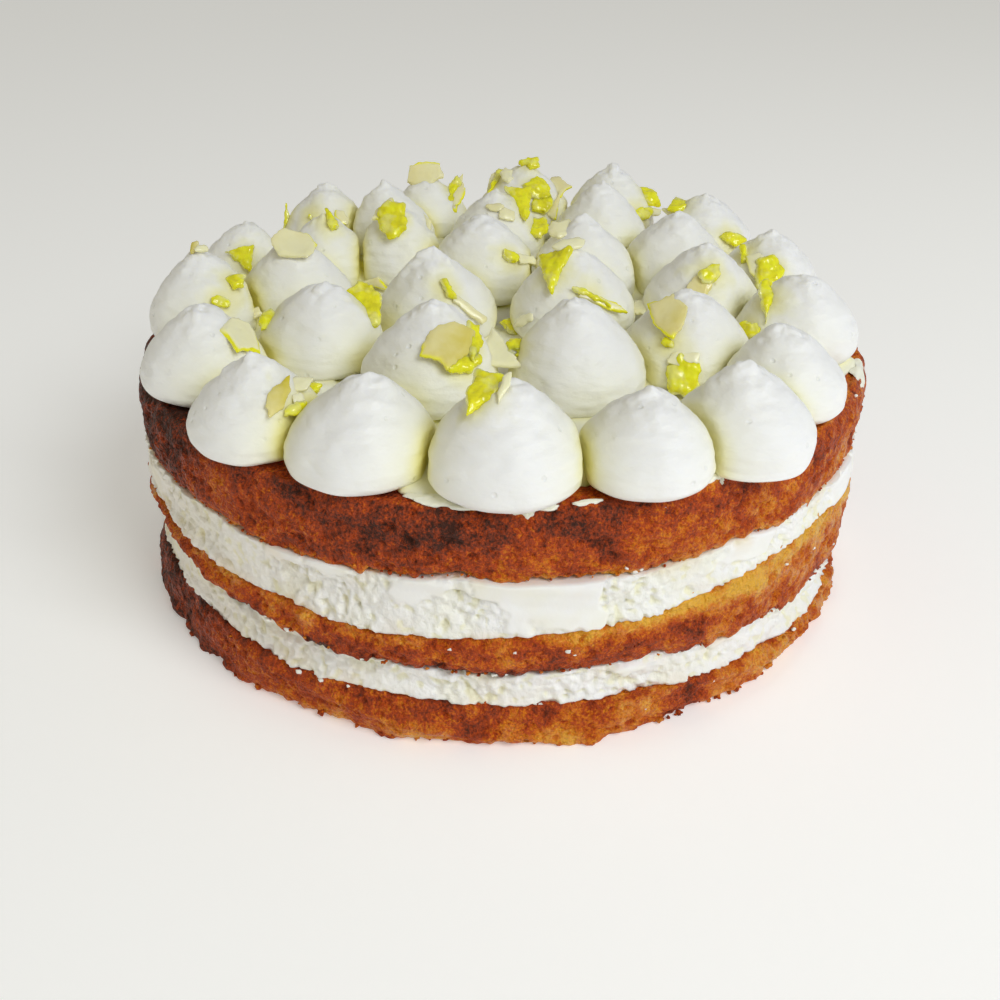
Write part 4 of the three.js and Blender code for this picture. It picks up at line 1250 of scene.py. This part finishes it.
class CAKE_OT_kisses(bpy.types.Operator):
    """Pipes the cream kisses on the top"""

    bl_idname = "cake.kisses"
    bl_label = "Piped kisses"

    def execute(self, context):
        settings = context.scene.cake_cream
        material = whipped_material("piped_whipped_cream", settings, KISS_GLOW)
        spread = whipped_material("spread_whipped_cream", settings, FILM_GLOW)
        found = kisses()
        stains = [np.array(shard_pose(row, ZEST_SHAPE[0], found).translation) for row in ZEST_PIECES]
        for kiss in found:
            build_kiss(kiss, contact_planes(kiss, found), stains, material)
        build_film(found, spread)
        build_smears(spread)
        build_flecks(spread)
        return {"FINISHED"}


class CAKE_OT_peel(bpy.types.Operator):
    """Lays candied pith and rind on the kisses"""

    bl_idname = "cake.peel"
    bl_label = "Candied lemon peel"

    def execute(self, context):
        settings = context.scene.cake_peel
        pith, zest = pith_material(settings), zest_material(settings)
        build_peel("lemon_pith", PITH_PIECES, PITH_LOOKS, PITH_SHAPE, pith)
        build_peel("lemon_zest", ZEST_PIECES, (ZEST_LOOK,) * len(ZEST_PIECES), ZEST_SHAPE, zest)
        return {"FINISHED"}


class CAKE_OT_stage(bpy.types.Operator):
    """Adds a pale floor, soft studio light and the camera"""

    bl_idname = "cake.stage"
    bl_label = "Studio"

    def execute(self, context):
        settings = context.scene.cake_stage
        scene = context.scene
        start()
        bpy.ops.mesh.primitive_plane_add(size=FLOOR_SIZE)
        floor = context.active_object
        floor.name = "floor"
        paper, add, _ = new_material("matt_paper")
        colour = linear(settings.floor_colour)
        shader = add("BsdfPrincipled", {"Base Color": colour, "Roughness": 1, "Specular IOR Level": 0,
                                        "Emission Color": colour, "Emission Strength": settings.floor_glow})
        add("OutputMaterial", {"Surface": shader})
        floor.data.materials.append(paper)
        for name, place, size, power in (("key light", KEY_PLACE, KEY_SIZE, settings.key_power),
                                         ("fill light", FILL_PLACE, FILL_SIZE, settings.fill_power)):
            lamp = bpy.data.lights.new(name, "AREA")
            lamp.shape = "DISK"
            lamp.size = size
            lamp.energy = power
            lamp.color = LAMP_COLOUR
            light = bpy.data.objects.new(name, lamp)
            scene.collection.objects.link(light)
            light.location = place
            light.rotation_euler = (Vector(AIM) - Vector(place)).to_track_quat("-Z", "Y").to_euler()
        world = bpy.data.worlds.new("white surroundings, warmer on the left")
        world.use_nodes = True
        add = functools.partial(add_node, world.node_tree)
        sky = world.node_tree.nodes["Background"].inputs
        sky["Strength"].default_value = settings.sky_strength
        toward = add("TexCoord").outputs["Generated"]
        sideways = add("SeparateXYZ", {"Vector": toward})
        left = add("MapRange", {"Value": sideways, "From Min": 0.1, "From Max": -0.7})
        shade = add("Mix", {0: left, 6: (1, 1, 1, 1), 7: linear(settings.left_colour)},
                    data_type="RGBA").outputs[2]
        world.node_tree.links.new(shade, sky["Color"])
        scene.world = world
        scene.view_settings.view_transform = "Standard"
        camera = bpy.data.objects.new("camera", bpy.data.cameras.new("camera"))
        scene.collection.objects.link(camera)
        camera.data.sensor_width = SENSOR_WIDTH
        camera.data.lens = settings.lens
        camera.location = CAMERA_PLACE
        camera.rotation_euler = (math.radians(CAMERA_ANGLE), 0, 0)
        scene.camera = camera
        return {"FINISHED"}


class CAKE_PT_panel(bpy.types.Panel):
    """Lists the steps that build the cake"""

    bl_label = "Lemon parfait cake"
    bl_idname = "CAKE_PT_panel"
    bl_space_type = "VIEW_3D"
    bl_region_type = "UI"
    bl_category = "Cake"

    def draw(self, context):
        for operator in OPERATORS:
            self.layout.operator(operator.bl_idname)
        for group in SETTINGS:
            box = self.layout.box()
            settings = getattr(context.scene, group)
            for key in settings.bl_rna.properties.keys():
                if key not in ("rna_type", "name"):
                    box.prop(settings, key)


OPERATORS = (CAKE_OT_sponges, CAKE_OT_fillings, CAKE_OT_kisses, CAKE_OT_peel, CAKE_OT_stage)
SETTINGS = {
    "cake_sponge": SpongeSettings,
    "cake_cream": CreamSettings,
    "cake_peel": PeelSettings,
    "cake_stage": StageSettings,
}


def register():
    """Registers the settings, the operators and the panel."""
    for group, kind in SETTINGS.items():
        bpy.utils.register_class(kind)
        setattr(bpy.types.Scene, group, bpy.props.PointerProperty(type=kind))
    for kind in OPERATORS + (CAKE_PT_panel,):
        bpy.utils.register_class(kind)


def unregister():
    """Takes them away again."""
    for kind in (CAKE_PT_panel,) + OPERATORS[::-1]:
        bpy.utils.unregister_class(kind)
    for group, kind in SETTINGS.items():
        delattr(bpy.types.Scene, group)
        bpy.utils.unregister_class(kind)


def main():
    """Builds the cake and its studio."""
    register()
    bpy.ops.cake.sponges()
    bpy.ops.cake.fillings()
    bpy.ops.cake.kisses()
    bpy.ops.cake.peel()
    bpy.ops.cake.stage()


if __name__ == "__main__":
    main()
